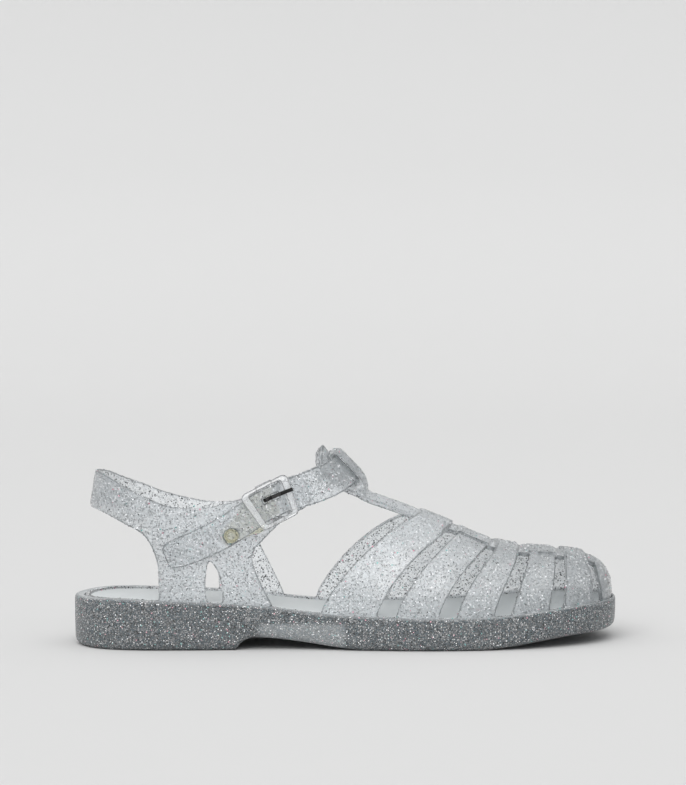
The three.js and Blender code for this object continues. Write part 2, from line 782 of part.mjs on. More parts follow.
// Loop of clear strip folded round the centre bar, with its tail held on the quarter by the stud.
function buckleLoop() {
  const fold = [];
  for (let n = 0; n <= 8; n += 1) {
    const angle = (n / 8) * Math.PI;
    fold.push([buckleRun + 2.7 * Math.cos(angle), 3 + 1.95 * Math.sin(angle)]);
  }
  const outer = [[buckleRun + 2.7, 0.6], ...fold, [buckleRun - 2.7, 0.6]];
  const inner = roundedBox(buckleRun, 3.125, 1.75, 1.125, 0.4);
  const tail = [
    [studRun - 5, -4.6, -2.2],
    [studRun - 4, -6.2, -0.6],
    [studRun - 1, -7.2, 1.2],
    [studRun + 4, -7.4, 2.6],
    [studRun + 8, -8, 4.4],
    [buckleRun - 12, -9.7, 5.8],
    [buckleRun - 10, -9.8, 6.3],
    [buckleRun - 8.2, -8, 6.4],
    [buckleRun - 5.6, -6.4, 6.2],
    [buckleRun - 2, -6.2, 6.2],
    [buckleRun + 2.6, -6.2, 6.2],
  ];
  return bar(outer, -6.2, 6.2)
    .subtract(bar(inner, -7, 7))
    .add(ribbon(tail, 0.6, 2))
    .subtract(bar(roundedBox(buckleRun + 0.3, 3, 3.7, 3, 0.5), pinAcross - 1.3, pinAcross + 1.3))
    .subtract(plate(disc(studRun, studAcross, 1.9, 12), -1, 3));
}

// Prong: eye round the centre bar and a pin that rests on the ring's front bar.
function bucklePin() {
  const half = prongWidth / 2;
  const circle = (radius) => disc(buckleRun, 3.15, radius, 14);
  const [from, to] = [pinAcross - half, pinAcross + half];
  const pin = [
    [buckleRun - 0.5, 4.9],
    [buckleRun + 2, 5],
    [buckleRun + 5, 8],
    [buckleRun + 9.4, 8],
    [buckleRun + 10.4, 8.4],
    [buckleRun + 10.3, 8.9],
    [buckleRun + 9.2, 9.2],
    [buckleRun + 4.4, 9.2],
    [buckleRun + 1, 6.1],
    [buckleRun - 0.5, 6],
  ];
  return bar(circle(2.45), from, to).add(bar(pin, from, to)).subtract(bar(circle(1.75), from - 1, to + 1));
}

// Stud through the quarter and the loop's tail: a turned profile about the ring's normal.
function loopStud() {
  const profile = [
    [0, -5],
    [3, -5],
    [3.4, -4.6],
    [3.4, -3.9],
    [3, -3.6],
    [1.5, -3.6],
    [1.5, 2.4],
    [studRadius, 2.4],
    [studRadius, 3.2],
    [2.4, 3.8],
    [1, 4.1],
    [0, 4.1],
  ].map(([radius, lift]) => new THREE.Vector2(radius, lift));
  const geometry = new THREE.LatheGeometry(profile, 20);
  const origin = onStrap(studRun, studAcross, 0);
  const up = onStrap(studRun, studAcross, 1).sub(origin);
  const turn = new THREE.Quaternion().setFromUnitVectors(new THREE.Vector3(0, 1, 0), up);
  const position = geometry.getAttribute("position");
  const points = [];
  for (let i = 0; i < position.count; i += 1) {
    points.push(new THREE.Vector3().fromBufferAttribute(position, i).applyQuaternion(turn).add(origin));
  }
  const index = Array.from(geometry.getIndex().array);
  const triangles = [];
  for (let i = 0; i < index.length; i += 3) triangles.push(index.slice(i, i + 3));
  return body(points, triangles);
}

function upper() {
  const studHole = plate(disc(studRun, studAcross, 1.9, 12), -4, 1);
  return join(cageAndRing(), ...weave(), tBar(), keeper(), quarters().subtract(studHole), ankleStrap());
}

// Sole and insole are stacks of loops that follow the outline.
const loopShares = (() => {
  const shares = [...Array(35)].map((_, i) => 0.5 - 0.5 * Math.cos((i / 34) * Math.PI));
  const breast = [-0.2095, -0.2041, -0.198, -0.1911, -0.182, -0.1713];
  for (const along of breast) {
    let low = 0.1;
    let high = 0.6;
    for (let n = 0; n < 30; n += 1) {
      const middle = (low + high) / 2;
      if (edge(-1, middle, 0).x < along * soleLength) low = middle;
      else high = middle;
    }
    shares.push(low);
  }
  return shares.sort((a, b) => a - b).filter((share, i, all) => i === 0 || share - all[i - 1] > 0.004);
})();
function loop(inset, heightAt) {
  const place = (side, share) => {
    const point = edge(side, share, inset(edge(side, share, 0).x));
    return point.setZ(heightAt(point.x));
  };
  const outer = loopShares.map((share) => place(-1, share));
  const inner = loopShares.slice(1, -1).reverse().map((share) => place(1, share));
  return [...outer, ...inner];
}
function outsole() {
  const rise = (share) => (x) => mix(undersideAt(x), rimAt(x), share);
  const low = (lift) => (x) => undersideAt(x) + lift;
  const groove = (x) => lipAt(x) - 0.2;
  const whole = stack([
    loop(() => 4.4, low(0)),
    loop(() => 1.6, low(1.1)),
    loop(() => 0.4, low(3.4)),
    loop(() => 0, rise(0.5)),
    loop(() => 0, (x) => rimAt(x) - 1.3),
    loop(() => 0.9, rimAt),
    loop(groove, rimAt),
    loop(groove, (x) => rimAt(x) - grooveDepth),
  ]);
  const hollow = [];
  for (const side of [-1, 1]) {
    for (let i = 0; i <= 6; i += 1) {
      const x = mix(-0.1483, -0.0145, side < 0 ? i / 6 : 1 - i / 6) * soleLength;
      hollow.push([x, featherAt(side, x) - side * 3.4]);
    }
  }
  const top = 0.1022 * instepHeight;
  return whole.subtract(prism(hollow, top + 4, 1, (u, v, d) => new THREE.Vector3(u, v, d - 4)));
}
function insole() {
  const inset = (x) => lipAt(x) + gap + wall + insoleInset;
  const under = (x) => rimAt(x) - insoleDrop - insoleThickness;
  const over = (x) => rimAt(x) - insoleDrop;
  return stack([
    loop((x) => inset(x) + 0.5, under),
    loop(inset, (x) => under(x) + 0.5),
    loop(inset, (x) => over(x) - 0.6),
    loop((x) => inset(x) + 0.7, over),
  ]);
}

function mesh(name, solid, color, roughness, metalness, opacity = 1) {
  const { numProp, vertProperties, triVerts } = solid.simplify(0.02).getMesh();
  const geometry = new THREE.BufferGeometry();
  const position = [];
  for (let i = 0; i < vertProperties.length; i += numProp) position.push(...vertProperties.slice(i, i + 3));
  geometry.setAttribute("position", new THREE.Float32BufferAttribute(position, 3));
  geometry.setIndex(Array.from(triVerts));
  const transparent = opacity < 1;
  const material = new THREE.MeshStandardMaterial({ color, roughness, metalness, opacity, transparent });
  const part = new THREE.Mesh(geometry, material);
  part.name = name;
  return part;
}

const sandal = new THREE.Group();
sandal.add(
  mesh("outsole", outsole(), 0x787d80, 0.35, 0),
  mesh("insole", insole(), 0xc2c5c5, 0.5, 0),
  mesh("upper", upper(), 0xbdc2c3, 0.3, 0),
  mesh("buckle_frame", buckleFrame(), 0xe6e8e8, 0.1, 0, 0.5),
  mesh("buckle_loop", buckleLoop(), 0xd2cfbe, 0.25, 0),
  mesh("buckle_pin", bucklePin(), 0x8a8c8e, 0.2, 1),
  mesh("loop_stud", loopStud(), 0xdcdacb, 0.2, 0),
);

// The frame stands on the floor under the middle of the shoe's bounding box.
const middle = new THREE.Box3().setFromObject(sandal).getCenter(new THREE.Vector3());
for (const part of sandal.children) part.geometry.translate(-middle.x, -middle.y, 0);

export default sandal;
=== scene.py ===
"""Flat moulded sandal in clear plastic with silver glitter: right shoe, toe along +X, buckle side to -Y."""

import math

import bmesh
import bpy
import numpy as np
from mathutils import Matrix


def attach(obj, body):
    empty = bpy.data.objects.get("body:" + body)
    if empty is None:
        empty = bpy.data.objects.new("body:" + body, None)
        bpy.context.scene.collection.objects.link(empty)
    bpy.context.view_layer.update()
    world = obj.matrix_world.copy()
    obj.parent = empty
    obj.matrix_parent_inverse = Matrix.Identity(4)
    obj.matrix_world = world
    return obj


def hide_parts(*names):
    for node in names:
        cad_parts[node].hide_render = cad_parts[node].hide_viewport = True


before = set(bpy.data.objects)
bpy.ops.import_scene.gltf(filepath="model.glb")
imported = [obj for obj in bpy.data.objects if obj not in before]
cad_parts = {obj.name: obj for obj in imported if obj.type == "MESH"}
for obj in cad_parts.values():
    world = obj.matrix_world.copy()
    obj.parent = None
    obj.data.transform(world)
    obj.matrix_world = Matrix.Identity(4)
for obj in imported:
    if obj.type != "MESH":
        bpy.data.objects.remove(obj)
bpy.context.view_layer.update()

# The outsole is one moulding of soft plastic packed with silver glitter: a low heel with a concave
# breast, an arch that thins to a flange, a forefoot block and a slight toe spring. A rim runs round
# its top, and the insole and the upper's ring lie inside it.

SOLE_LENGTH = 260.0
BALL_WIDTH = 94.0
INSTEP_HEIGHT = 91.4
WALL = 2.0
GAP = 0.3
HOLLOW_HEEL = -0.1483
HOLLOW_FRONT = -0.0145
HOLLOW_SIDE = 3.4
HOLLOW_TOP = 0.1022
GROOVE_DEPTH = 4.3
SOLE_STEPS = 260

# Along, outer side and inner side of the outline.
outline_rows = [
    (-0.5, 0, 0),
    (-0.487, -0.1489, 0.1489),
    (-0.456, -0.25, 0.25),
    (-0.3968, -0.317, 0.3149),
    (-0.3089, -0.3404, 0.3298),
    (-0.2018, -0.3447, 0.3255),
    (-0.0948, -0.3617, 0.3277),
    (0.0122, -0.4106, 0.3766),
    (0.1193, -0.4532, 0.4596),
    (0.2187, -0.4574, 0.517),
    (0.3104, -0.4255, 0.5298),
    (0.3869, -0.3553, 0.4936),
    (0.4459, -0.2489, 0.4106),
    (0.4862, -0.1021, 0.2809),
    (0.5, 0.0851, 0.0851),
]
# Height of the rim's top along the sole.
rim_rows = [
    (-0.5, 0.2565),
    (-0.4312, 0.263),
    (-0.3471, 0.2543),
    (-0.2401, 0.2413),
    (-0.156, 0.2239),
    (-0.0872, 0.1989),
    (-0.0336, 0.1837),
    (0.0428, 0.1739),
    (0.169, 0.1663),
    (0.2492, 0.1707),
    (0.341, 0.1913),
    (0.4174, 0.2109),
    (0.5, 0.2239),
]
underside_rows = [
    (-0.5, 0),
    (-0.2095, 0),
    (-0.2041, 0.0261),
    (-0.1919, 0.0511),
    (-0.1751, 0.063),
    (-0.1483, 0.0598),
    (-0.0872, 0.0391),
    (-0.0336, 0.0163),
    (0.0199, 0),
    (0.2263, 0),
    (0.2645, 0.0076),
    (0.3028, 0.0207),
    (0.3486, 0.0391),
    (0.4021, 0.0554),
    (0.5, 0.0652),
]
# Width of the rim outside the upper, in millimetres.
lip_rows = [
    (-0.5, 4.6),
    (-0.3471, 3.6),
    (0.341, 3.4),
    (0.4501, 2.2),
    (0.5, 1.5),
]


def read(rows, position, column=1):
    """Value of a column between rows, smooth and without overshoot."""
    last = len(rows) - 1
    x = min(max(position, rows[0][0]), rows[last][0])
    i = 0
    while i < last - 1 and x > rows[i + 1][0]:
        i += 1

    def slope(k):
        return (rows[k + 1][column] - rows[k][column]) / (rows[k + 1][0] - rows[k][0])

    def tangent(k):
        if k == 0:
            return slope(0)
        if k == last:
            return slope(last - 1)
        before, after = slope(k - 1), slope(k)
        return 0.0 if before * after <= 0 else 2 * before * after / (before + after)

    span = rows[i + 1][0] - rows[i][0]
    t = (x - rows[i][0]) / span
    start = rows[i][column] * (1 + 2 * t) * (1 - t) ** 2 + tangent(i) * span * t * (1 - t) ** 2
    end = rows[i + 1][column] * (3 - 2 * t) * t * t + tangent(i + 1) * span * t * t * (t - 1)
    return start + end


def mix(a, b, t):
    return a + (b - a) * t


def ease(low, high, value):
    t = min(max((value - low) / (high - low), 0.0), 1.0)
    return t * t * (3 - 2 * t)


def flowing(points, count, closed=False):
    """Evenly numbered points on a smooth curve through the given points."""
    points = [np.array(p, float) for p in points]
    size = len(points)
    out = []
    for n in range(count):
        place = n / count * size if closed else n / (count - 1) * (size - 1)
        i = int(min(place, size - 1 if closed else size - 2))
        w = place - i
        p1, p2 = points[i % size], points[(i + 1) % size]
        p0 = points[i - 1] if closed or i > 0 else 2 * points[0] - points[1]
        p3 = points[(i + 2) % size] if closed or i + 2 < size else 2 * points[-1] - points[-2]
        d0, d1, d2 = (max(np.linalg.norm(b - a), 1e-6) ** 0.5 for a, b in ((p0, p1), (p1, p2), (p2, p3)))
        m1 = ((p1 - p0) / d0 - (p2 - p0) / (d0 + d1) + (p2 - p1) / d1) * d1
        m2 = ((p2 - p1) / d1 - (p3 - p1) / (d1 + d2) + (p3 - p2) / d2) * d1
        curve = (2 * p1 - 2 * p2 + m1 + m2) * w**3 + (-3 * p1 + 3 * p2 - 2 * m1 - m2) * w**2
        out.append(curve + m1 * w + p1)
    return np.array(out)


def rim_at(x):
    return read(rim_rows, x / SOLE_LENGTH) * INSTEP_HEIGHT


def underside_at(x):
    return read(underside_rows, x / SOLE_LENGTH) * INSTEP_HEIGHT


def lip_at(x):
    return read(lip_rows, x / SOLE_LENGTH)


around = [(a * SOLE_LENGTH, outer * BALL_WIDTH) for a, outer, inner in outline_rows]
around += [(a * SOLE_LENGTH, inner * BALL_WIDTH) for a, outer, inner in reversed(outline_rows[1:-1])]
outline = flowing(around, 2 * SOLE_STEPS * 4, closed=True)
outline_ahead = np.roll(outline, -1, axis=0) - np.roll(outline, 1, axis=0)
outline_ahead /= np.linalg.norm(outline_ahead, axis=1)[:, None]
MIDDLE_Y = (outline[:, 1].min() + outline[:, 1].max()) / 2


def edge(side, t, inset):
    """Point on the outline moved inwards; t runs from the heel to the toe."""
    count = len(outline)
    n = int(round((t / 2 if side < 0 else (1 - t / 2) % 1) * count)) % count
    x, y = outline[n]
    dx, dy = outline_ahead[n]
    return np.array([x - dy * inset, y + dx * inset, 0.0])


def loop(inset, height):
    """Closed loop that follows the outline, with its inset and height as functions of the length."""
    shares = [0.5 - 0.5 * math.cos(i / SOLE_STEPS * math.pi) for i in range(SOLE_STEPS + 1)]
    points = []
    for side, run in ((-1, shares), (1, shares[-2:0:-1])):
        for t in run:
            point = edge(side, t, inset(edge(side, t, 0)[0]))
            point[2] = height(point[0])
            points.append(point)
    return points


def stack(loops):
    """Faces of a closed stack of loops, capped straight across at both ends."""
    count = len(loops[0])
    faces = []
    for k in range(len(loops) - 1):
        for i in range(count):
            j = (i + 1) % count
            faces.append((k * count + i, k * count + j, (k + 1) * count + j, (k + 1) * count + i))
    top = (len(loops) - 1) * count
    for i in range(count // 2):
        a, b, c, d = i, i + 1, count - i - 1, (count - i) % count
        faces.append((a, d, c, b) if d != a else (a, c, b))
        faces.append((top + a, top + b, top + c, top + d) if d != a else (top + a, top + b, top + c))
    return [p for points in loops for p in points], faces


def solid(name, points, faces):
    """Object from points in millimetres, with every face turned outwards."""
    mesh = bpy.data.meshes.new(name)
    mesh.from_pydata([(p[0] / 1000, (p[1] - MIDDLE_Y) / 1000, p[2] / 1000) for p in points], [], faces)
    work = bmesh.new()
    work.from_mesh(mesh)
    bmesh.ops.remove_doubles(work, verts=work.verts, dist=1e-6)
    bmesh.ops.dissolve_degenerate(work, edges=work.edges, dist=1e-7)
    bmesh.ops.recalc_face_normals(work, faces=work.faces)
    work.to_mesh(mesh)
    work.free()
    item = bpy.data.objects.new(name, mesh)
    bpy.context.scene.collection.objects.link(item)
    return item


def rounded(item, crease_degrees):
    """Smooth shading that stays sharp at edges steeper than the angle."""
    item.data.shade_smooth()
    item.data.set_sharp_from_angle(angle=math.radians(crease_degrees))


def low(lift):
    return lambda x: underside_at(x) + lift


def between(share, drop=0.0):
    return lambda x: mix(underside_at(x), rim_at(x), share) - drop


def groove(x):
    return lip_at(x) - 0.2


def flat(value):
    return lambda x: value


sole_loops = [
    loop(flat(9.0), low(0.0)),
    loop(flat(4.4), low(0.0)),
    loop(flat(3.0), low(0.18)),
    loop(flat(1.6), low(0.9)),
    loop(flat(0.7), low(2.0)),
    loop(flat(0.3), low(3.6)),
    loop(flat(0.05), between(0.5)),
    loop(flat(0.0), between(1.0, 1.7)),
    loop(flat(0.12), between(1.0, 0.8)),
    loop(flat(0.5), between(1.0, 0.2)),
    loop(flat(1.1), rim_at),
    loop(lambda x: groove(x) - 0.5, rim_at),
    loop(groove, between(1.0, 0.4)),
    loop(groove, between(1.0, GROOVE_DEPTH)),
]
feather = {}
for side in (-1, 1):
    points = []
    for i in range(481):
        at = edge(side, i / 480, 0)[0]
        points.append(edge(side, i / 480, lip_at(at) + GAP))
    feather[side] = np.array(points)
feather_tip = feather[-1][-1][0]


def feather_at(side, x):
    """Outer face of the upper at the rim."""
    return float(np.interp(x, feather[side][:, 0], feather[side][:, 1]))


def cut(item, tool, how):
    """Boolean with another object, which is removed afterwards."""
    modifier = item.modifiers.new("cut", "BOOLEAN")
    modifier.operation = how
    modifier.object = tool
    modifier.solver = "EXACT"
    finished = baked(item)
    old = tool.data
    bpy.data.objects.remove(tool)
    bpy.data.meshes.remove(old)
    return finished


def baked(item):
    """The object with its modifiers made part of its mesh."""
    shape = bpy.data.meshes.new_from_object(item.evaluated_get(bpy.context.evaluated_depsgraph_get()))
    old = item.data
    item.modifiers.clear()
    item.data = shape
    bpy.data.meshes.remove(old)
    return item


outsole = solid("outsole_look", *stack(sole_loops))
# The arch is hollow below, closed at the sides by a rim of the same moulding.
hollow_foot = []
for side in (-1, 1):
    for x in np.linspace(HOLLOW_HEEL, HOLLOW_FRONT, 13)[::-side]:
        hollow_foot.append((x * SOLE_LENGTH, feather_at(side, x * SOLE_LENGTH) - side * HOLLOW_SIDE))
hollow_count = len(hollow_foot)
hollow_points = [(x, y, z) for z in (-4.0, HOLLOW_TOP * INSTEP_HEIGHT) for x, y in hollow_foot]
hollow_faces = [tuple(range(hollow_count))[::-1], tuple(range(hollow_count, 2 * hollow_count))]
for n in range(hollow_count):
    m = (n + 1) % hollow_count
    hollow_faces.append((n, m, hollow_count + m, hollow_count + n))
cut(outsole, solid("hollow", hollow_points, hollow_faces), "DIFFERENCE")
rounded(outsole, 40)


def group(name, inputs, outputs):
    """Empty shader node group with its named sockets."""
    tree = bpy.data.node_groups.new(name, "ShaderNodeTree")
    for label, kind, value in inputs:
        socket = tree.interface.new_socket(label, in_out="INPUT", socket_type=kind)
        socket.default_value = value
    for label, kind in outputs:
        tree.interface.new_socket(label, in_out="OUTPUT", socket_type=kind)
    return tree, tree.nodes.new("NodeGroupInput"), tree.nodes.new("NodeGroupOutput")


def maths(tree, operation, a, b=None, c=None):
    """Math node; numbers are set on its sockets and other values are linked."""
    node = tree.nodes.new("ShaderNodeMath")
    node.operation = operation
    for socket, value in zip(node.inputs, (a, b, c)):
        if isinstance(value, (int, float)):
            socket.default_value = value
        elif value is not None:
            tree.links.new(value, socket)
    return node.outputs[0]


def blend(tree, factor, a, b, how="MIX"):
    """Colour mix node; tuples are set on its sockets and other values are linked."""
    node = tree.nodes.new("ShaderNodeMix")
    node.data_type = "RGBA"
    node.blend_type = how
    for socket, value in ((node.inputs[0], factor), (node.inputs[6], a), (node.inputs[7], b)):
        if isinstance(value, (int, float)):
            socket.default_value = value
        elif isinstance(value, tuple):
            socket.default_value = (*value, 1.0)
        else:
            tree.links.new(value, socket)
    return node.outputs[2]


# Flakes in the plastic: one random flake to a cell, some bright, some dark, a few pink or green.
flakes, flake_in, flake_out = group(
    "glitter_flakes",
    [
        ("Cells per metre", "NodeSocketFloat", 2000.0),
        ("Share filled", "NodeSocketFloat", 0.5),
        ("Flake size", "NodeSocketFloat", 0.45),
        ("Dark tone", "NodeSocketFloat", 0.1),
        ("Bright tone", "NodeSocketFloat", 0.9),
        ("Contrast", "NodeSocketFloat", 1.0),
    ],
    [("Flake", "NodeSocketFloat"), ("Tone", "NodeSocketColor"), ("Glint", "NodeSocketFloat")],
)
place = flakes.nodes.new("ShaderNodeTexCoord")
cells = flakes.nodes.new("ShaderNodeTexVoronoi")
cells.feature = "F1"
flakes.links.new(place.outputs["Object"], cells.inputs["Vector"])
flakes.links.new(flake_in.outputs["Cells per metre"], cells.inputs["Scale"])
dice = flakes.nodes.new("ShaderNodeSeparateColor")
flakes.links.new(cells.outputs["Color"], dice.inputs[0])
near = maths(flakes, "LESS_THAN", cells.outputs["Distance"], flake_in.outputs["Flake size"])
filled = maths(flakes, "LESS_THAN", dice.outputs[0], flake_in.outputs["Share filled"])
flake = maths(flakes, "MULTIPLY", near, filled)
spread = maths(flakes, "POWER", dice.outputs[1], flake_in.outputs["Contrast"])
range_of_tone = maths(flakes, "SUBTRACT", flake_in.outputs["Bright tone"], flake_in.outputs["Dark tone"])
tone = maths(flakes, "MULTIPLY_ADD", spread, range_of_tone, flake_in.outputs["Dark tone"])
grey = flakes.nodes.new("ShaderNodeCombineColor")
for channel in grey.inputs[:3]:
    flakes.links.new(tone, channel)
pink = maths(flakes, "GREATER_THAN", dice.outputs[2], 0.994)
green = maths(flakes, "LESS_THAN", dice.outputs[2], 0.008)
tinted = blend(flakes, pink, grey.outputs[0], (0.9, 0.45, 0.52))
tinted = blend(flakes, green, tinted, (0.3, 0.62, 0.6))
flakes.links.new(flake, flake_out.inputs["Flake"])
flakes.links.new(tinted, flake_out.inputs["Tone"])
glinting = maths(flakes, "GREATER_THAN", dice.outputs[1], 0.8)
flakes.links.new(maths(flakes, "MULTIPLY", flake, glinting), flake_out.inputs["Glint"])


def plastic(name, roughness, base, coat=0.0, transmission=0.0, alpha=1.0, ior=1.5):
    """Material with its Principled shader; the plain numbers stand on its own sockets."""
    material = bpy.data.materials.new(name)
    material.use_nodes = True
    shader = material.node_tree.nodes["Principled BSDF"]
    shader.inputs["Base Color"].default_value = (*base, 1.0)
    shader.inputs["Roughness"].default_value = roughness
    shader.inputs["Coat Weight"].default_value = coat
    shader.inputs["Coat Roughness"].default_value = 0.12
    shader.inputs["Transmission Weight"].default_value = transmission
    shader.inputs["Alpha"].default_value = alpha
    shader.inputs["IOR"].default_value = ior
    return material, material.node_tree, shader


def scatter(tree, cells_per_metre, share, size, dark, bright, contrast=1.0):
    """The flakes group placed in a material with its own values."""
    node = tree.nodes.new("ShaderNodeGroup")
    node.node_tree = flakes
    for label, value in (
        ("Cells per metre", cells_per_metre),
        ("Share filled", share),
        ("Flake size", size),
        ("Dark tone", dark),
        ("Bright tone", bright),
        ("Contrast", contrast),
    ):
        node.inputs[label].default_value = value
    return node


def height_above(tree, axis):
    """One coordinate of the point in metres."""
    coordinates = tree.nodes.new("ShaderNodeTexCoord")
    split = tree.nodes.new("ShaderNodeSeparateXYZ")
    tree.links.new(coordinates.outputs["Object"], split.inputs[0])
    return split.outputs[axis]


def step_mask(tree, value, start, end):
    """0 to 1 ramp of a value, smooth between two limits."""
    node = tree.nodes.new("ShaderNodeMapRange")
    node.interpolation_type = "SMOOTHSTEP"
    node.inputs["From Min"].default_value = start
    node.inputs["From Max"].default_value = end
    tree.links.new(value, node.inputs["Value"])
    return node.outputs[0]


def spots_and_normals(mesh):
    """Vertices in millimetres, and their outward directions."""
    spots = np.empty(len(mesh.vertices) * 3)
    mesh.vertices.foreach_get("co", spots)
    normals = np.empty(len(mesh.vertices) * 3, dtype=np.float32)
    mesh.vertex_normals.foreach_get("vector", normals)
    return spots.reshape(-1, 3) * 1000, normals.reshape(-1, 3)


def paint(mesh, name, values):
    """Attribute with one value a vertex."""
    mesh.attributes.new(name, "FLOAT", "POINT").data.foreach_set("value", values.astype(np.float32))


def painted(tree, name):
    """Output with the values of such an attribute."""
    node = tree.nodes.new("ShaderNodeAttribute")
    node.attribute_name = name
    return node.outputs["Fac"]


TREAD_PITCH = 6.0
TREAD_DEPTH = 0.4
LIP_STRAIGHT = 88.0
sole_look, sole_tree, sole_shader = plastic("glitter_sole_look", 0.36, (0.15, 0.17, 0.18), coat=0.12)
fine = scatter(sole_tree, 1900.0, 0.8, 0.6, 0.03, 0.42, contrast=1.8)
coarse = scatter(sole_tree, 1300.0, 0.3, 0.34, 0.3, 1.0, contrast=0.9)
sole_colour = blend(sole_tree, fine.outputs["Flake"], (0.118, 0.145, 0.16), fine.outputs["Tone"])
# Painted light: above 12 mm, the sole's inward-facing walls and upward-facing tops are painted paler. This lifts
# the shade in the groove round the insole and lights the top of the lip.
lip_spot, lip_side = spots_and_normals(outsole.data)
lip_end = lip_spot[:, 0] - np.clip(lip_spot[:, 0], -LIP_STRAIGHT, LIP_STRAIGHT)
lip_inward = -lip_end * lip_side[:, 0] - (lip_spot[:, 1] + 3) * lip_side[:, 1]
lip_painted_light = np.clip(np.maximum(lip_inward / 6, (lip_side[:, 2] - 0.35) / 1.6), 0, 1)
paint(outsole.data, "lip_inside_painted_light", lip_painted_light * (lip_spot[:, 2] > 12))
lip_light_weight = maths(sole_tree, "MULTIPLY", painted(sole_tree, "lip_inside_painted_light"), 0.85)
sole_colour = blend(sole_tree, lip_light_weight, sole_colour, (0.56, 0.59, 0.6))
sole_colour = blend(sole_tree, coarse.outputs["Flake"], sole_colour, coarse.outputs["Tone"])
along = height_above(sole_tree, 0)
flange = maths(
    sole_tree,
    "MULTIPLY",
    step_mask(sole_tree, along, -0.047, -0.040),
    step_mask(sole_tree, along, -0.002, -0.006),
)
flange = maths(sole_tree, "MULTIPLY", flange, step_mask(sole_tree, height_above(sole_tree, 2), 0.0135, 0.0115))
sole_colour = blend(sole_tree, maths(sole_tree, "MULTIPLY", flange, 0.2), sole_colour, (0.9, 0.95, 0.97))
sole_tree.links.new(sole_colour, sole_shader.inputs["Base Color"])
sole_tree.links.new(
    maths(sole_tree, "MULTIPLY_ADD", coarse.outputs["Glint"], -0.18, 0.4), sole_shader.inputs["Roughness"]
)
# Painted glints: the coarse flakes that would catch the light get a little white emission, a painted highlight.
sole_shader.inputs["Emission Strength"].default_value = 0.3
sole_painted_glints = blend(sole_tree, coarse.outputs["Glint"], (0.0, 0.0, 0.0), (0.92, 0.97, 1.0))
sole_tree.links.new(sole_painted_glints, sole_shader.inputs["Emission Color"])
tread_place = sole_tree.nodes.new("ShaderNodeTexCoord")
tread_down = sole_tree.nodes.new("ShaderNodeSeparateXYZ")
sole_tree.links.new(tread_place.outputs["Normal"], tread_down.inputs[0])
ribs_turn = maths(sole_tree, "MULTIPLY", height_above(sole_tree, 0), 2 * math.pi / TREAD_PITCH * 1000)
rib = maths(sole_tree, "SINE", ribs_turn)
tread = sole_tree.nodes.new("ShaderNodeBump")
tread.inputs["Distance"].default_value = TREAD_DEPTH / 1000
facing_down = step_mask(sole_tree, tread_down.outputs[2], -0.6, -0.9)
ribbed = maths(sole_tree, "MULTIPLY", facing_down, step_mask(sole_tree, rib, -0.2, 0.2))
sole_tree.links.new(ribbed, tread.inputs["Height"])
sole_tree.links.new(tread.outputs["Normal"], sole_shader.inputs["Normal"])
outsole.data.materials.append(sole_look)
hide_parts("outsole")
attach(outsole, "root")

# The insole is a pale satin pad with soft edges, laid in the recess a little below the rim.
# Its print is left out, so its top is plain.

INSOLE_THICKNESS = 3.0
INSOLE_DROP = 0.8


def insole_inset(x):
    return lip_at(x) + GAP + WALL + 0.2


def insole_height(drop):
    return lambda x: rim_at(x) - INSOLE_DROP - drop


insole_loops = [
    loop(lambda x: insole_inset(x) + 0.5, insole_height(INSOLE_THICKNESS)),
    loop(insole_inset, insole_height(INSOLE_THICKNESS - 0.4)),
    loop(insole_inset, insole_height(0.7)),
    loop(lambda x: insole_inset(x) + 0.15, insole_height(0.3)),
    loop(lambda x: insole_inset(x) + 0.45, insole_height(0.08)),
    loop(lambda x: insole_inset(x) + 0.9, insole_height(0.0)),
]
insole = solid("insole_look", *stack(insole_loops))
rounded(insole, 40)
pad_look, pad_tree, pad_shader = plastic("insole_satin_look", 0.42, (0.56, 0.585, 0.58))
grain = pad_tree.nodes.new("ShaderNodeTexNoise")
grain.inputs["Scale"].default_value = 900.0
grain.inputs["Detail"].default_value = 3.0
pad_place = pad_tree.nodes.new("ShaderNodeTexCoord")
pad_tree.links.new(pad_place.outputs["Object"], grain.inputs["Vector"])
cloud = pad_tree.nodes.new("ShaderNodeTexNoise")
cloud.inputs["Scale"].default_value = 28.0
pad_tree.links.new(pad_place.outputs["Object"], cloud.inputs["Vector"])
pad_colour = blend(pad_tree, cloud.outputs[0], (0.6, 0.635, 0.64), (0.67, 0.7, 0.71))
pad_tree.links.new(pad_colour, pad_shader.inputs["Base Color"])
pad_bump = pad_tree.nodes.new("ShaderNodeBump")
pad_bump.inputs["Strength"].default_value = 0.12
pad_bump.inputs["Distance"].default_value = 0.0002
pad_tree.links.new(grain.outputs[0], pad_bump.inputs["Height"])
pad_tree.links.new(pad_bump.outputs[0], pad_shader.inputs["Normal"])
insole.data.materials.append(pad_look)
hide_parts("insole")
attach(insole, "root")

# The upper is one hollow moulding of clear plastic with loose flakes, about 2 mm thick. A ring lies
# inside the sole's rim, and the woven toe cage, the quarters with the heel strap, the T-bar with its
# keeper and the ankle strap all grow out of it. Its parts are built here, then fused as moulded.

WEAVE_RISE = 1.2

# Height of the last's ridge, its offset to the inner side, and roundness of its sections.
ridge_rows = [
    (-0.156, 0.9348, 0, 1.75),
    (0.0734, 0.75, 0.0053, 1.75),
    (0.1384, 0.6761, 0.0085, 1.75),
    (0.1919, 0.613, 0.017, 1.8),
    (0.2263, 0.563, 0.0255, 1.85),
    (0.2645, 0.5196, 0.034, 1.9),
    (0.3219, 0.4848, 0.0489, 1.95),
    (0.3792, 0.4674, 0.0638, 2),
    (0.4251, 0.4533, 0.0745, 2.1),
    (0.4542, 0.4304, 0.0809, 2.1),
    (0.4729, 0.4, 0.0851, 2.1),
    (0.4834, 0.363, 0.0851, 2.1),
    (0.4908, 0.3174, 0.0851, 2.1),
    (0.4931, 0.2228, 0.0851, 2.1),
]
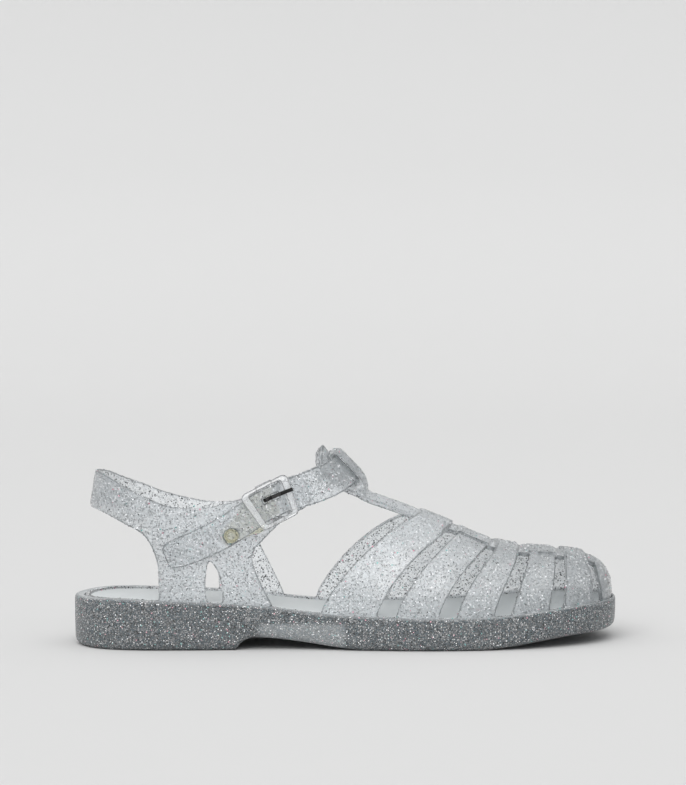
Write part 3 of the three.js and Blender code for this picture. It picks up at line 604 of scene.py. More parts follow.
# Cage toe: where each strap edge meets the rim on the outer and inner side and the ridge.
cage_rows = [
    (-0.0566, -0.0528, 0.1346, "strap"),
    (0.0428, 0.0485, 0.1957, "window"),
    (0.0772, 0.083, 0.211, "strap"),
    (0.1537, 0.1594, 0.2626, "window"),
    (0.1862, 0.1919, 0.276, "strap"),
    (0.255, 0.2607, 0.318, "window"),
    (0.2875, 0.2932, 0.3353, "strap"),
    (0.3582, 0.3639, 0.383, "window"),
    (0.3869, 0.3907, 0.3983, "strap"),
    (0.4476, 0.4501, 0.4417, "window"),
    (0.4646, 0.4667, 0.4542, "toe"),
    (0.4931, 0.4931, 0.4931, "tip"),
]
centre_strip_rows = [
    (0.1116, 0.1117),
    (0.1957, 0.133),
    (0.2836, 0.1489),
    (0.4923, 0.1489),
]
cage_lean_rows = [
    (0.1346, 1.3),
    (0.3028, 1.3),
    (0.4584, 1),
]
last_band = len(cage_rows) - 1

def forefoot(side, bottom, ridge, turn):
    """Point on the cage's outer surface; turn runs from the rim (0) to the ridge."""
    reach = feather_tip / (ridge_rows[-1][0] * SOLE_LENGTH)
    roundness = read(ridge_rows, ridge, 3)
    rise = math.sin(turn) ** (2 / roundness)
    x = mix(bottom, ridge, rise ** read(cage_lean_rows, ridge)) * SOLE_LENGTH * reach
    share = x / SOLE_LENGTH / reach
    centre = read(ridge_rows, share, 2) * BALL_WIDTH
    y = mix(centre, feather_at(side, x), max(math.cos(turn), 0.0) ** (2 / roundness))
    return (x, y, mix(rim_at(x), read(ridge_rows, share) * INSTEP_HEIGHT, rise))


def cage(band, across):
    """Point on the cage by strap edge number and place across; the centre strip lies between -1 and 1."""
    k = min(int(band), last_band - 1)
    side = -1 if across < 0 else 1
    column = 0 if across < 0 else 1
    bottom = mix(cage_rows[k][column], cage_rows[k + 1][column], band - k)
    ridge = mix(cage_rows[k][2], cage_rows[k + 1][2], band - k)
    centre = read(ridge_rows, ridge, 2) * BALL_WIDTH
    half = abs(feather_at(side, ridge * SOLE_LENGTH) - centre)
    strip = min(read(centre_strip_rows, ridge) * BALL_WIDTH / max(half, 0.01), 0.7)
    strip_turn = math.acos(strip ** (read(ridge_rows, ridge, 3) / 2))
    out = abs(across)
    turn = mix(math.pi / 2, strip_turn, out) if out <= 1 else mix(strip_turn, 0.0, out - 1)
    if band > last_band - 0.001:
        x = forefoot(side, bottom, ridge, turn)[0]
        return (x, read(ridge_rows, ridge_rows[-1][0], 2) * BALL_WIDTH, rim_at(x))
    return forefoot(side, bottom, ridge, turn)


def facing(grid):
    """Unit normals of a grid of points."""
    rows = np.gradient(grid, axis=0)
    columns = np.gradient(grid, axis=1)
    normals = np.cross(rows, columns)
    size = np.linalg.norm(normals, axis=2, keepdims=True)
    return normals / np.maximum(size, 1e-9)


def wall(grid, top, bottom, keep=None, normals=None):
    """Closed wall between two lifts off a grid; keep leaves cells out as openings."""
    grid = np.asarray(grid, float)
    normals = facing(grid) if normals is None else normals
    rows, columns = grid.shape[:2]
    lifts = [np.broadcast_to(np.asarray(v, float), (rows, columns))[..., None] for v in (top, bottom)]
    points = np.concatenate([(grid + normals * lift).reshape(-1, 3) for lift in lifts])
    offset = rows * columns
    faces = []

    def kept(i, j):
        return 0 <= i < rows - 1 and 0 <= j < columns - 1 and (keep is None or keep(i, j))

    for i in range(rows - 1):
        for j in range(columns - 1):
            if not kept(i, j):
                continue
            p, q = i * columns + j, (i + 1) * columns + j
            r, s = q + 1, p + 1
            faces.append((p, q, r, s))
            faces.append((s + offset, r + offset, q + offset, p + offset))
            sides = ((kept(i, j - 1), q, p), (kept(i + 1, j), r, q), (kept(i, j + 1), s, r), (kept(i - 1, j), p, s))
            for free, a, b in sides:
                if not free:
                    faces.append((a, b, b + offset, a + offset))
    return points, faces


def swept(outline_points, depths, place_at):
    """Closed body from a flat outline carried through depths; place_at puts each point in space."""
    count = len(outline_points)
    points = [place_at(u, v, d) for d in depths for u, v in outline_points]
    faces = []
    for k in range(len(depths) - 1):
        for i in range(count):
            j = (i + 1) % count
            faces.append((k * count + i, k * count + j, (k + 1) * count + j, (k + 1) * count + i))
    faces.append(tuple(range(count))[::-1])
    faces.append(tuple((len(depths) - 1) * count + i for i in range(count)))
    return points, faces


moulded = []


def add_moulded(points, faces):
    start = sum(len(p) for p, _ in moulded)
    moulded.append((points, [tuple(n + start for n in face) for face in faces]))


# Cage shell with its windows, from the first strap to the tip of the toe.
bands = []
for k in range(last_band):
    steps = {"strap": 12, "window": 6, "toe": 18}[cage_rows[k][3]]
    for n in range(steps):
        share = n / steps
        bands.append(k + (math.sin(share * math.pi / 2) if cage_rows[k][3] == "toe" else share))
bands.append(last_band)
places = np.concatenate([np.linspace(-2, -1, 23)[:-1], np.linspace(-1, 1, 25), np.linspace(1, 2, 23)[1:]])
cage_grid = np.array([[cage(b, a) for a in places] for b in bands])
cage_normals = facing(cage_grid)
cage_normals[-1] = (1, 0, 0)


def window(i, j):
    middle = (bands[i] + bands[i + 1]) / 2
    k = min(int(middle), last_band - 1)
    return cage_rows[k][3] != "window" or abs(places[j] + places[j + 1]) < 2


add_moulded(*wall(cage_grid, 0.0, -WALL, keep=window, normals=cage_normals))

# Weave: a strap over the centre strip, or the centre strip over a strap.
for k in range(last_band):
    if cage_rows[k][3] != "strap":
        continue
    over = (k // 2) % 2 == 0
    reach = 1.45 if over else 0.97
    run = np.linspace(k + 0.05, k + 0.95, 13) if over else np.linspace(k - 0.55, k + 1.55, 33)
    spread_of = np.linspace(-reach, reach, 41)
    patch = np.array([[cage(min(max(b, 0), last_band), a) for a in spread_of] for b in run])
    lift = np.zeros((len(run), len(spread_of)))
    for i, b in enumerate(run):
        for j, a in enumerate(spread_of):
            fall = ease(1.02, 1.42, abs(a)) if over else ease(0.4, 1.02, abs(b - k - 0.5))
            lift[i, j] = mix(WEAVE_RISE, -0.35, fall)
    add_moulded(*wall(patch, lift, -WALL / 2, normals=facing(patch)))

# Ring under the rim that every strap grows out of.
for side in (-1, 1):
    points = []
    for i in range(151):
        t = i / 150
        at = edge(side, t, 0)[0]
        outer = edge(side, t, lip_at(at) + GAP)
        inner = edge(side, t, lip_at(at) + GAP + WALL)
        top = rim_at(outer[0])
        points.append(
            [
                (*outer[:2], top - GROOVE_DEPTH + GAP),
                (*outer[:2], top),
                (*inner[:2], top),
                (*inner[:2], top - GROOVE_DEPTH + GAP),
            ]
        )
    count = len(points)
    ring_faces = [
        (4 * i + n, 4 * i + (n + 1) % 4, 4 * i + 4 + (n + 1) % 4, 4 * i + 4 + n)
        for i in range(count - 1)
        for n in range(4)
    ]
    ring_faces += [(3, 2, 1, 0), tuple(4 * count - 4 + n for n in range(4))]
    add_moulded([p for row in points for p in row], ring_faces)

# Ankle ring of the last, seen across its lean: half width, back and front.
ANKLE_LEAN = math.radians(46)
ANKLE_SET_BACK = 0.8
ANKLE_HALF_WIDTH = 0.3298
ANKLE_CENTRE = 0.0435
ANKLE_FRONT = 0.6261
STRETCH = SOLE_LENGTH / INSTEP_HEIGHT * 0.3516
QUARTER_START = -0.3547
quarter_width_rows = [
    (QUARTER_START, 0.94),
    (-0.2324, 0.985),
    (-0.156, 1),
    (0.2263, 1),
]
heel_rows = [
    (0.1522, -0.4786),
    (0.7174, -0.471),
    (0.8152, -0.4664),
    (0.913, -0.461),
]
# Edge over the strap tab and down the front, then the edge up the back and under the heel strap.
quarter_front_rows = [
    (-0.4847, 0.913, -0.4847, 0.913),
    (-0.4465, 0.8978, -0.4465, 0.8913),
    (-0.4083, 0.8402, -0.4083, 0.8424),
    (-0.3693, 0.7859, -0.37, 0.8),
    (-0.3314, 0.7424, -0.3318, 0.7587),
    (-0.2829, 0.7304, -0.2821, 0.7217),
    (-0.2278, 0.7522, -0.2362, 0.7022),
    (-0.1713, 0.8109, -0.1942, 0.713),
    (-0.1254, 0.8587, -0.1598, 0.7609),
    (-0.1009, 0.8761, -0.1292, 0.8109),
    (-0.0742, 0.8348, -0.1047, 0.7957),
    (-0.0673, 0.7783, -0.0872, 0.7457),
    (-0.0795, 0.7348, -0.0948, 0.7022),
    (-0.1177, 0.6772, -0.1239, 0.6565),
    (-0.1544, 0.5837, -0.1498, 0.587),
    (-0.1766, 0.5109, -0.159, 0.5261),
    (-0.1797, 0.4609, -0.1567, 0.4826),
    (-0.1671, 0.3576, -0.138, 0.3739),
    (-0.1491, 0.2543, -0.117, 0.25),
    (-0.1384, 0.1848, -0.107, 0.1783),
]
quarter_back_rows = [
    (-0.3486, 0.2152, -0.341, 0.2152),
    (-0.3479, 0.3413, -0.3402, 0.3413),
    (-0.3517, 0.4598, -0.344, 0.4598),
    (-0.3731, 0.587, -0.3662, 0.5848),
    (-0.4129, 0.6543, -0.4129, 0.6543),
    (-0.4541, 0.7087, -0.4541, 0.7087),
    (-0.4924, 0.7239, -0.4924, 0.7239),
]
slot_rows = [
    (-0.2592, 0.2435),
    (-0.2615, 0.4196),
    (-0.2569, 0.4565),
    (-0.2492, 0.4391),
    (-0.2416, 0.4),
    (-0.2362, 0.35),
    (-0.2339, 0.2826),
    (-0.2347, 0.2435),
]


def on_lean(forward, up):
    """Forward and up the ankle's lean turned into along and up."""
    back = up * math.cos(ANKLE_LEAN) - forward * math.sin(ANKLE_LEAN)
    x = -back * INSTEP_HEIGHT * STRETCH - ANKLE_SET_BACK
    return np.array([x, 0.0, (forward * math.cos(ANKLE_LEAN) + up * math.sin(ANKLE_LEAN)) * INSTEP_HEIGHT])


def half_width_at(side, x, z):
    forward = (x + ANKLE_SET_BACK) / STRETCH * math.sin(ANKLE_LEAN) + z * math.cos(ANKLE_LEAN)
    forward /= INSTEP_HEIGHT
    share = min(max((forward - ANKLE_CENTRE) / (ANKLE_FRONT - ANKLE_CENTRE), 0.0), 1.0)
    width = read(quarter_width_rows, x / SOLE_LENGTH)
    ring = ANKLE_HALF_WIDTH * BALL_WIDTH * width * math.sqrt(1 - share * share)
    return mix(abs(feather_at(side, x)), ring, ease(0.2174, 0.6522, z / INSTEP_HEIGHT))


def quarter_point(side, turn, z):
    """Quarter wall from the back of the heel (0) to the front of one side (2)."""
    join = QUARTER_START * SOLE_LENGTH
    if turn <= 1:
        back = read(heel_rows, z / INSTEP_HEIGHT) * SOLE_LENGTH
        angle = turn * math.pi / 2
        x = join - (join - back) * max(math.cos(angle), 0.0) ** 0.9
        return (x, side * half_width_at(side, join, z) * math.sin(angle) ** 0.9, z)
    reach = 0.587 * INSTEP_HEIGHT - z * math.cos(ANKLE_LEAN)
    end = min(reach / math.sin(ANKLE_LEAN) * STRETCH - ANKLE_SET_BACK, -0.0375 * SOLE_LENGTH)
    x = mix(join, max(end, join + 20), turn - 1)
    return (x, side * half_width_at(side, x, z), z)


quarter_turns = [(-1, t) for t in np.linspace(2, 0, 90)[:-1]] + [(1, t) for t in np.linspace(0, 2, 90)]
quarter_heights = np.linspace(13, 86, 74) / 92 * INSTEP_HEIGHT
quarter_grid = np.array([[quarter_point(side, t, z) for side, t in quarter_turns] for z in quarter_heights])
quarter_normals = facing(quarter_grid)
if quarter_normals[40, 30, 1] > 0:
    quarter_normals = -quarter_normals
for side, column in ((-1, 0), (1, 2)):
    sheet = solid("quarter_sheet", *wall(quarter_grid, -0.05, 0.05 - WALL, normals=quarter_normals))
    sides = []
    for rows, count in ((quarter_front_rows, 110), (quarter_back_rows, 40)):
        corners = [(r[column] * SOLE_LENGTH, r[column + 1] * INSTEP_HEIGHT) for r in rows]
        sides += list(flowing(corners, count))
    depth = [-0.4, 70.0] if side > 0 else [-70.0, 0.4]
    sheet = cut(sheet, solid("quarter_view", *swept(sides, depth, lambda u, v, d: (u, d, v))), "INTERSECT")
    slot = flowing([(a * SOLE_LENGTH, u * INSTEP_HEIGHT) for a, u in slot_rows], 40, closed=True)
    slot_view = solid("slot_view", *swept(slot, [-70.0, 70.0], lambda u, v, d: (u, d, v)))
    sheet = cut(sheet, slot_view, "DIFFERENCE")
    half = [(v.co.x * 1000, v.co.y * 1000 + MIDDLE_Y, v.co.z * 1000) for v in sheet.data.vertices]
    add_moulded(half, [tuple(f.vertices) for f in sheet.data.polygons])
    bpy.data.objects.remove(sheet)

# T-bar: along, up and half width from the cage to the pointed flap under the ankle strap.
T_BAR_THICKNESS = 2.4
t_bar_rows = [
    (0.1766, 0.6261, 0.1064),
    (0.1422, 0.6717, 0.1106),
    (0.104, 0.7185, 0.1085),
    (0.0696, 0.7543, 0.1064),
    (0.0482, 0.775, 0.1064),
    (0.0359, 0.7935, 0.1128),
    (0.0245, 0.8207, 0.1277),
    (0.0115, 0.8565, 0.1532),
    (-0.0023, 0.8978, 0.166),
    (-0.0191, 0.9467, 0.1702),
    (-0.0306, 0.9804, 0.1617),
    (-0.0382, 1.0033, 0.1277),
    (-0.0428, 1.0196, 0.0745),
    (-0.0447, 1.0261, 0.0266),
]


def crown(y):
    """How far a crosswise section of the instep falls away from the middle."""
    share = min(abs(y) / (ANKLE_HALF_WIDTH * BALL_WIDTH), 0.98)
    return (ANKLE_FRONT - ANKLE_CENTRE) * INSTEP_HEIGHT * (1 - math.sqrt(1 - share * share))


t_path = flowing([(a * SOLE_LENGTH, u * INSTEP_HEIGHT, h * BALL_WIDTH) for a, u, h in t_bar_rows], 90)
t_ahead = np.gradient(t_path[:, :2], axis=0)
t_ahead /= np.linalg.norm(t_ahead, axis=1)[:, None]
t_layers = []
for inset in (0.0, T_BAR_THICKNESS):
    t_layers.append(
        [
            [
                (
                    x - dy * (crown(share * half) + inset),
                    share * half,
                    z + dx * (crown(share * half) + inset),
                )
                for share in np.linspace(-1, 1, 25)
            ]
            for (x, z, half), (dx, dy) in zip(t_path, t_ahead)
        ]
    )
t_outer, t_inner = (np.array(layer) for layer in t_layers)
t_gap = t_inner - t_outer
t_depth = np.linalg.norm(t_gap, axis=2, keepdims=True)
add_moulded(*wall(t_outer, 0.0, t_depth[..., 0], normals=t_gap / t_depth))

# Keeper: a flat tunnel over the ankle strap, bent to the instep.
KEEPER_HALF_WIDTH = 9.5
keeper_rows = [
    (0.4826, 0.6196),
    (0.5043, 0.6478),
    (0.5326, 0.6663),
    (0.5609, 0.6783),
    (0.5913, 0.6815),
    (0.7261, 0.6815),
    (0.7478, 0.6772),
    (0.762, 0.662),
    (0.7674, 0.6196),
    (0.75, 0.6196),
    (0.7478, 0.6565),
    (0.7413, 0.6641),
    (0.5826, 0.6641),
    (0.5652, 0.6565),
    (0.563, 0.6196),
]


def keeper_place(up, forward, across):
    side = abs(across) / KEEPER_HALF_WIDTH
    outside = ease(0.6522, 0.6793, forward)
    point = on_lean(forward - (crown(across) + 0.5 * outside * side**4) / INSTEP_HEIGHT, up)
    return (point[0], across, point[2])


keeper_outline = flowing(keeper_rows, 90, closed=True)
add_moulded(*swept(keeper_outline, np.linspace(-KEEPER_HALF_WIDTH, KEEPER_HALF_WIDTH, 25), keeper_place))

# Ankle strap: forward, up on the outer side, half width of the ankle, up on the inner side.
STRAP_THICKNESS = 1.9
BUCKLE_RUN = -53.7
PIN_ACROSS = 2.0
STUD_RUN = -76.8
STUD_ACROSS = -3.4
STUD_RADIUS = 3.1
strap_rows = [
    (0.6261, 0.6554, 0, 0.6554),
    (0.6011, 0.662, 0.0957, 0.6457),
    (0.5304, 0.6826, 0.1809, 0.6489),
    (0.412, 0.7391, 0.2553, 0.6891),
    (0.2935, 0.8022, 0.2979, 0.7435),
    (0.1902, 0.8457, 0.3191, 0.7826),
    (0.0326, 0.8739, 0.3298, 0.8087),
    (-0.1717, 0.9293, 0.3277, 0.8641),
    (-0.3478, 1.0022, 0.3213, 0.937),
]
strap_lift_rows = [
    (-110, 0.5),
    (-98, 0.5),
    (-88, 1.2),
    (-83, 2.4),
    (BUCKLE_RUN - 6.4, 2.4),
    (BUCKLE_RUN - 2.4, 5.3),
    (BUCKLE_RUN + 2.4, 5.3),
    (BUCKLE_RUN + 6.4, 2.2),
    (-40, 1.6),
    (-30, 0.6),
    (-20, 0.4),
    (18, 0.4),
    (26, 0.2),
    (39, 0.04 - WALL),
    (64, 0.04 - WALL),
]
strap_half_rows = [
    (-109.6, 1.6),
    (-108.8, 4),
    (-106.6, 5.8),
    (-103, 6.8),
    (-96, 7.1),
    (-80, 7.3),
    (-62, 7.3),
    (-45, 7.3),
    (-38, 7.6),
    (-30, 7.9),
    (40, 7.9),
    (64, 7.4),
]


def station(row, side):
    point = on_lean(row[0], row[1] if side < 0 else row[3])
    return (point[0], side * half_width_at(side, point[0], point[2]), point[2])


strap_through = [station(row, -1) for row in reversed(strap_rows[1:])]
strap_through += [tuple(on_lean(*strap_rows[0][:2]))] + [station(row, 1) for row in strap_rows[1:-2]]
strap_line = flowing(strap_through, 4000)
strap_runs = np.concatenate([[0], np.cumsum(np.linalg.norm(np.diff(strap_line, axis=0), axis=1))])
strap_runs -= strap_runs[int(np.argmax(strap_line[:, 1] >= 0))]
strap_ahead = np.gradient(strap_line, axis=0)
strap_ahead /= np.linalg.norm(strap_ahead, axis=1)[:, None]


def on_strap(run, across, lift):
    """Point by run from the instep (negative to the tip), place across and lift off the ankle ring."""
    run = min(max(run, strap_runs[0]), strap_runs[-1])
    point = np.array([np.interp(run, strap_runs, strap_line[:, n]) for n in range(3)])
    ahead = np.array([np.interp(run, strap_runs, strap_ahead[:, n]) for n in range(3)])
    lean = np.array([-math.cos(ANKLE_LEAN), 0.0, math.sin(ANKLE_LEAN)])
    width = lean - ahead * lean.dot(ahead)
    width /= np.linalg.norm(width)
    return point + width * across + np.cross(ahead, width) * lift


strap_stations = np.unique(
    np.concatenate(
        [
            np.linspace(-109.6, -104, 14),
            np.linspace(-104, -64, 56),
            np.linspace(-64, -44, 44),
            np.linspace(-44, 47, 110),
        ]
    )
)
strap_shares = np.linspace(-1, 1, 27)
strap_layers = [
    np.array(
        [
            [
                on_strap(run, share * read(strap_half_rows, run), read(strap_lift_rows, run) + extra)
                for share in strap_shares
            ]
            for run in strap_stations
        ]
    )
    for extra in (STRAP_THICKNESS, 0.0)
]


def strap_kept(i, j):
    run = (strap_stations[i] + strap_stations[i + 1]) / 2
    across = (strap_shares[j] + strap_shares[j + 1]) / 2 * read(strap_half_rows, run)
    pin_hole = abs(run - BUCKLE_RUN - 0.6) < 3.8 and abs(across - PIN_ACROSS) < 1.4
    eye = math.hypot(run - STUD_RUN, across - STUD_ACROSS) < STUD_RADIUS + 0.4
    return not (pin_hole or eye)


strap_gap = strap_layers[1] - strap_layers[0]
strap_depth = np.linalg.norm(strap_gap, axis=2, keepdims=True)


def fused(name, points, faces, voxel, passes, ratio):
    """Overlapping bodies fused into one smooth moulding with soft edges; sizes in millimetres."""
    mesh = bpy.data.meshes.new(name)
    mesh.from_pydata([tuple(p) for p in points], [], faces)
    work = bmesh.new()
    work.from_mesh(mesh)
    bmesh.ops.recalc_face_normals(work, faces=work.faces)
    work.to_mesh(mesh)
    work.free()
    item = bpy.data.objects.new(name, mesh)
    bpy.context.scene.collection.objects.link(item)
    remesh = item.modifiers.new("fuse", "REMESH")
    remesh.mode = "VOXEL"
    remesh.voxel_size = voxel
    soften = item.modifiers.new("soften", "SMOOTH")
    soften.factor = 0.5
    soften.iterations = passes
    if ratio < 1:
        thin = item.modifiers.new("thin", "DECIMATE")
        thin.ratio = ratio
    baked(item)
    spots = np.empty(len(item.data.vertices) * 3)
    item.data.vertices.foreach_get("co", spots)
    spots = (spots.reshape(-1, 3) - (0, MIDDLE_Y, 0)) / 1000
    item.data.vertices.foreach_set("co", spots.ravel())
    item.data.validate()
    item.data.update()
    item.data.shade_smooth()
    return item


all_points = [tuple(p) for points, _ in moulded for p in points]
all_faces = [face for _, faces in moulded for face in faces]
upper = fused("upper_look", all_points, all_faces, 0.45, 3, 0.23)
strap = fused(
    "ankle_strap_look",
    *wall(strap_layers[0], 0.0, strap_depth[..., 0], keep=strap_kept, normals=strap_gap / strap_depth),
    0.4,
    3,
    0.4,
)


def line_edges(item):
    """Attributes: 1 along the narrow rounded edges of the wall, where clear plastic looks darker and a dark line of
    painted shade goes; which faces look outward; and where the plastic is darkened, partly as thicker plastic and
    partly as painted shade.
    """
    mesh = item.data
    spots, normals = spots_and_normals(mesh)
    ends = np.empty(len(mesh.edges) * 2, dtype=np.int32)
    mesh.edges.foreach_get("vertices", ends)
    a, b = ends.reshape(-1, 2).T
    apart = np.maximum(np.linalg.norm(spots[a] - spots[b], axis=1), 0.05)
    bend = np.linalg.norm(normals[a] - normals[b], axis=1) / apart
    total, count = np.zeros(len(spots)), np.zeros(len(spots))
    for end in (a, b):
        np.add.at(total, end, bend)
        np.add.at(count, end, 1)
    sharp = np.clip((total / np.maximum(count, 1) - 0.35) / 0.5, 0, 1)
    paint(mesh, "edge_painted_shade", sharp)
    outward = ((spots[:, 1] + 3) * normals[:, 1] + (spots[:, 2] - 30) * normals[:, 2]) / 8 + 0.5
    paint(mesh, "outer_face", np.clip(outward, 0, 1))
    # Toward the toe, the heel strap and the keeper the plastic is made darker. This is partly for its thicker,
    # layered walls and partly painted shade and dark reflection.
    x, z = spots[:, 0], spots[:, 2]
    toe, heel, keeper = (np.clip(part, 0, 1) for part in ((x - 25) / 95, (-70 - x) / 40, (z - 73) / 6))
    thick_and_shaded = toe * 0.6 + heel * 0.4 + keeper * (x > -16) * 0.4
    paint(mesh, "thick_and_shaded", np.clip(thick_and_shaded, 0, 1))


line_edges(upper)
line_edges(strap)

clear_look, clear_tree, clear_shader = plastic(
    "glitter_clear_look", 0.3, (0.9, 0.92, 0.93), coat=0.3, transmission=0.8, ior=1.4
)
dust = scatter(clear_tree, 2000.0, 0.3, 0.5, 0.35, 0.95)
outer_face = painted(clear_tree, "outer_face")
thick_and_shaded = painted(clear_tree, "thick_and_shaded")
# Outer faces darken where that mask rises: thicker plastic and painted shade together.
outer_colour = blend(clear_tree, thick_and_shaded, (0.82, 0.85, 0.87), (0.3, 0.33, 0.345))
# Painted light: the inner faces are painted almost white and the outer faces keep the greyer tone, as if light came
# through the clear walls.
body_colour = blend(clear_tree, outer_face, (0.99, 0.995, 1.0), outer_colour)
clear_colour = blend(clear_tree, dust.outputs["Flake"], body_colour, dust.outputs["Tone"])
# Painted light: the inner faces glow with a little emission, less where the plastic is darkened, though the plastic
# is no lamp.
clear_shader.inputs["Emission Strength"].default_value = 1.0
no_painted_glow = maths(clear_tree, "ADD", outer_face, maths(clear_tree, "MULTIPLY", thick_and_shaded, 0.6))
clear_painted_glow = blend(clear_tree, no_painted_glow, (0.135, 0.14, 0.143), (0.0, 0.0, 0.0))
clear_tree.links.new(clear_painted_glow, clear_shader.inputs["Emission Color"])
clear_tree.links.new(maths(clear_tree, "MULTIPLY_ADD", outer_face, 0.24, 0.08), clear_shader.inputs["Roughness"])
# Painted shade: a dark line is painted along the narrow rounded edges, where clear plastic looks darker.
edge_painted_shade = painted(clear_tree, "edge_painted_shade")
edge_shade_strength = maths(clear_tree, "MULTIPLY", edge_painted_shade, 0.85)
clear_colour = blend(clear_tree, edge_shade_strength, clear_colour, (0.1, 0.115, 0.125))
clear_tree.links.new(clear_colour, clear_shader.inputs["Base Color"])
upper.data.materials.append(clear_look)
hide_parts("upper")
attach(upper, "root")
strap.data.materials.append(clear_look)
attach(strap, "root")

# The flakes in the upper are six-sided bits of silver film, lying at all angles in the surface of the plastic; most
# look dark against the light, some catch it, and a few are pink or green. The dark and bright looks are painted:
# dark film, a painted shade, lies mostly on the inner faces, and white film, a painted glint, lies mostly on the
# outer faces.

FLAKE_RADIUS = 0.33
FLAKES_PER_MM2 = 1.0


def film(name, tone, metallic, roughness):
    look = bpy.data.materials.new(name)
    look.use_nodes = True
    shader = look.node_tree.nodes["Principled BSDF"]
    shader.inputs["Base Color"].default_value = (*tone, 1.0)
    shader.inputs["Metallic"].default_value = metallic
    shader.inputs["Roughness"].default_value = roughness
    return look


def flake_tree():
    """Flakes spread over a surface, with their number, size and seed as inputs."""
    tree = bpy.data.node_groups.new("flake_spread", "GeometryNodeTree")
    for label, kind in (
        ("Geometry", "Geometry"),
        ("Inside", "Float"),
        ("Outside", "Float"),
        ("Radius", "Float"),
        ("Tilt", "Float"),
        ("Seed", "Int"),
        ("Film", "Material"),
    ):
        tree.interface.new_socket(label, in_out="INPUT", socket_type="NodeSocket" + kind)
    tree.interface.new_socket("Geometry", in_out="OUTPUT", socket_type="NodeSocketGeometry")
    given, result = tree.nodes.new("NodeGroupInput"), tree.nodes.new("NodeGroupOutput")

    def node(kind, links=(), **settings):
        item = tree.nodes.new(kind)
        for name, value in settings.items():
            setattr(item, name, value)
        for socket, source in links:
            if isinstance(source, (int, float, tuple)):
                item.inputs[socket].default_value = source
            else:
                tree.links.new(source, item.inputs[socket])
        return item

    place, normal = node("GeometryNodeInputPosition"), node("GeometryNodeInputNormal")
    middle = node(
        "ShaderNodeVectorMath",
        [(0, place.outputs[0]), (1, (0.0, 1.0, 1.0)), (2, (0.0, 0.003, -0.03))],
        operation="MULTIPLY_ADD",
    )
    facing_out = node(
        "ShaderNodeVectorMath", [(0, middle.outputs[0]), (1, normal.outputs[0])], operation="DOT_PRODUCT"
    )
    outside = node("ShaderNodeMath", [(0, facing_out.outputs["Value"]), (1, 0.0)], operation="GREATER_THAN")
    density = node(
        "ShaderNodeMix", [(0, outside.outputs[0]), (2, given.outputs["Inside"]), (3, given.outputs["Outside"])]
    )
    seed, tilt = given.outputs["Seed"], given.outputs["Tilt"]
    spread = node(
        "GeometryNodeDistributePointsOnFaces",
        [("Mesh", given.outputs["Geometry"]), ("Density", density.outputs[0]), ("Seed", seed)],
    )
    disc = node(
        "GeometryNodeMeshCircle", [("Vertices", 6), ("Radius", given.outputs["Radius"])], fill_type="NGON"
    )
    size = node("FunctionNodeRandomValue", [(2, 0.6), (3, 1.35), ("Seed", seed)])
    placed = node(
        "GeometryNodeInstanceOnPoints",
        [
            ("Points", spread.outputs["Points"]),
            ("Instance", disc.outputs["Mesh"]),
            ("Rotation", spread.outputs["Rotation"]),
            ("Scale", size.outputs[1]),
        ],
    )
    back = node("ShaderNodeMath", [(0, tilt), (1, -1.0)], operation="MULTIPLY")
    low_turn = node("ShaderNodeCombineXYZ", [("X", back.outputs[0]), ("Y", back.outputs[0]), ("Z", 0.0)])
    high_turn = node("ShaderNodeCombineXYZ", [("X", tilt), ("Y", tilt), ("Z", 6.28)])
    turn = node("FunctionNodeRandomValue", data_type="FLOAT_VECTOR")
    for socket, source in ((0, low_turn.outputs[0]), (1, high_turn.outputs[0]), ("Seed", seed)):
        tree.links.new(source, turn.inputs[socket])
    turned = node(
        "GeometryNodeRotateInstances", [("Instances", placed.outputs[0]), ("Rotation", turn.outputs[0])]
    )
    lifted = node(
        "GeometryNodeTranslateInstances",
        [("Instances", turned.outputs[0]), ("Translation", (0.0, 0.0, 0.00002))],
    )
    whole = node("GeometryNodeRealizeInstances", [("Geometry", lifted.outputs[0])])
    filmed = node(
        "GeometryNodeSetMaterial", [("Geometry", whole.outputs[0]), ("Material", given.outputs["Film"])]
    )
    tree.links.new(filmed.outputs[0], result.inputs[0])
    return tree


spread_tree = flake_tree()
skin = bmesh.new()
skin.from_mesh(upper.data)
skin.from_mesh(strap.data)
skin_mesh = bpy.data.meshes.new("skin")
skin.to_mesh(skin_mesh)
skin.free()
# Painted shade and light: the dark film is a painted shade of flakes seen against the light, and the white film is
# a painted glint of flakes that catch it.
for name, tone, metallic, roughness, inside, outside, seed in (
    ("flakes_painted_shade", (0.05, 0.055, 0.06), 0.2, 0.4, 0.42, 0.03, 3),
    ("flakes_grey", (0.4, 0.42, 0.43), 0.6, 0.3, 0.1, 0.5, 5),
    ("flakes_painted_glint", (0.97, 0.98, 1.0), 0.1, 0.25, 0.1, 0.32, 7),
    ("flakes_pink", (0.8, 0.3, 0.42), 0.3, 0.3, 0.005, 0.005, 11),
    ("flakes_green", (0.12, 0.5, 0.46), 0.3, 0.3, 0.005, 0.005, 13),
):
    item = bpy.data.objects.new(name, skin_mesh.copy())
    bpy.context.scene.collection.objects.link(item)
    item.data.materials.clear()
    spread = item.modifiers.new("spread", "NODES")
    spread.node_group = spread_tree
    values = {
        "Inside": FLAKES_PER_MM2 * inside * 1e6,
        "Outside": FLAKES_PER_MM2 * outside * 1e6,
        "Radius": FLAKE_RADIUS / 1000,
        "Tilt": 0.5,
        "Seed": seed,
        "Film": film(name + "_look", tone, metallic, roughness),
    }
    for socket in spread_tree.interface.items_tree:
        if socket.in_out == "INPUT" and socket.name in values:
            spread[socket.identifier] = values[socket.name]
    baked(item)
    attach(item, "root")

# The buckle frame is clear and thick like glass, with rounded bars; two posts carry a centre bar that
# lies under the strap. Its ring lies on top of the strap.

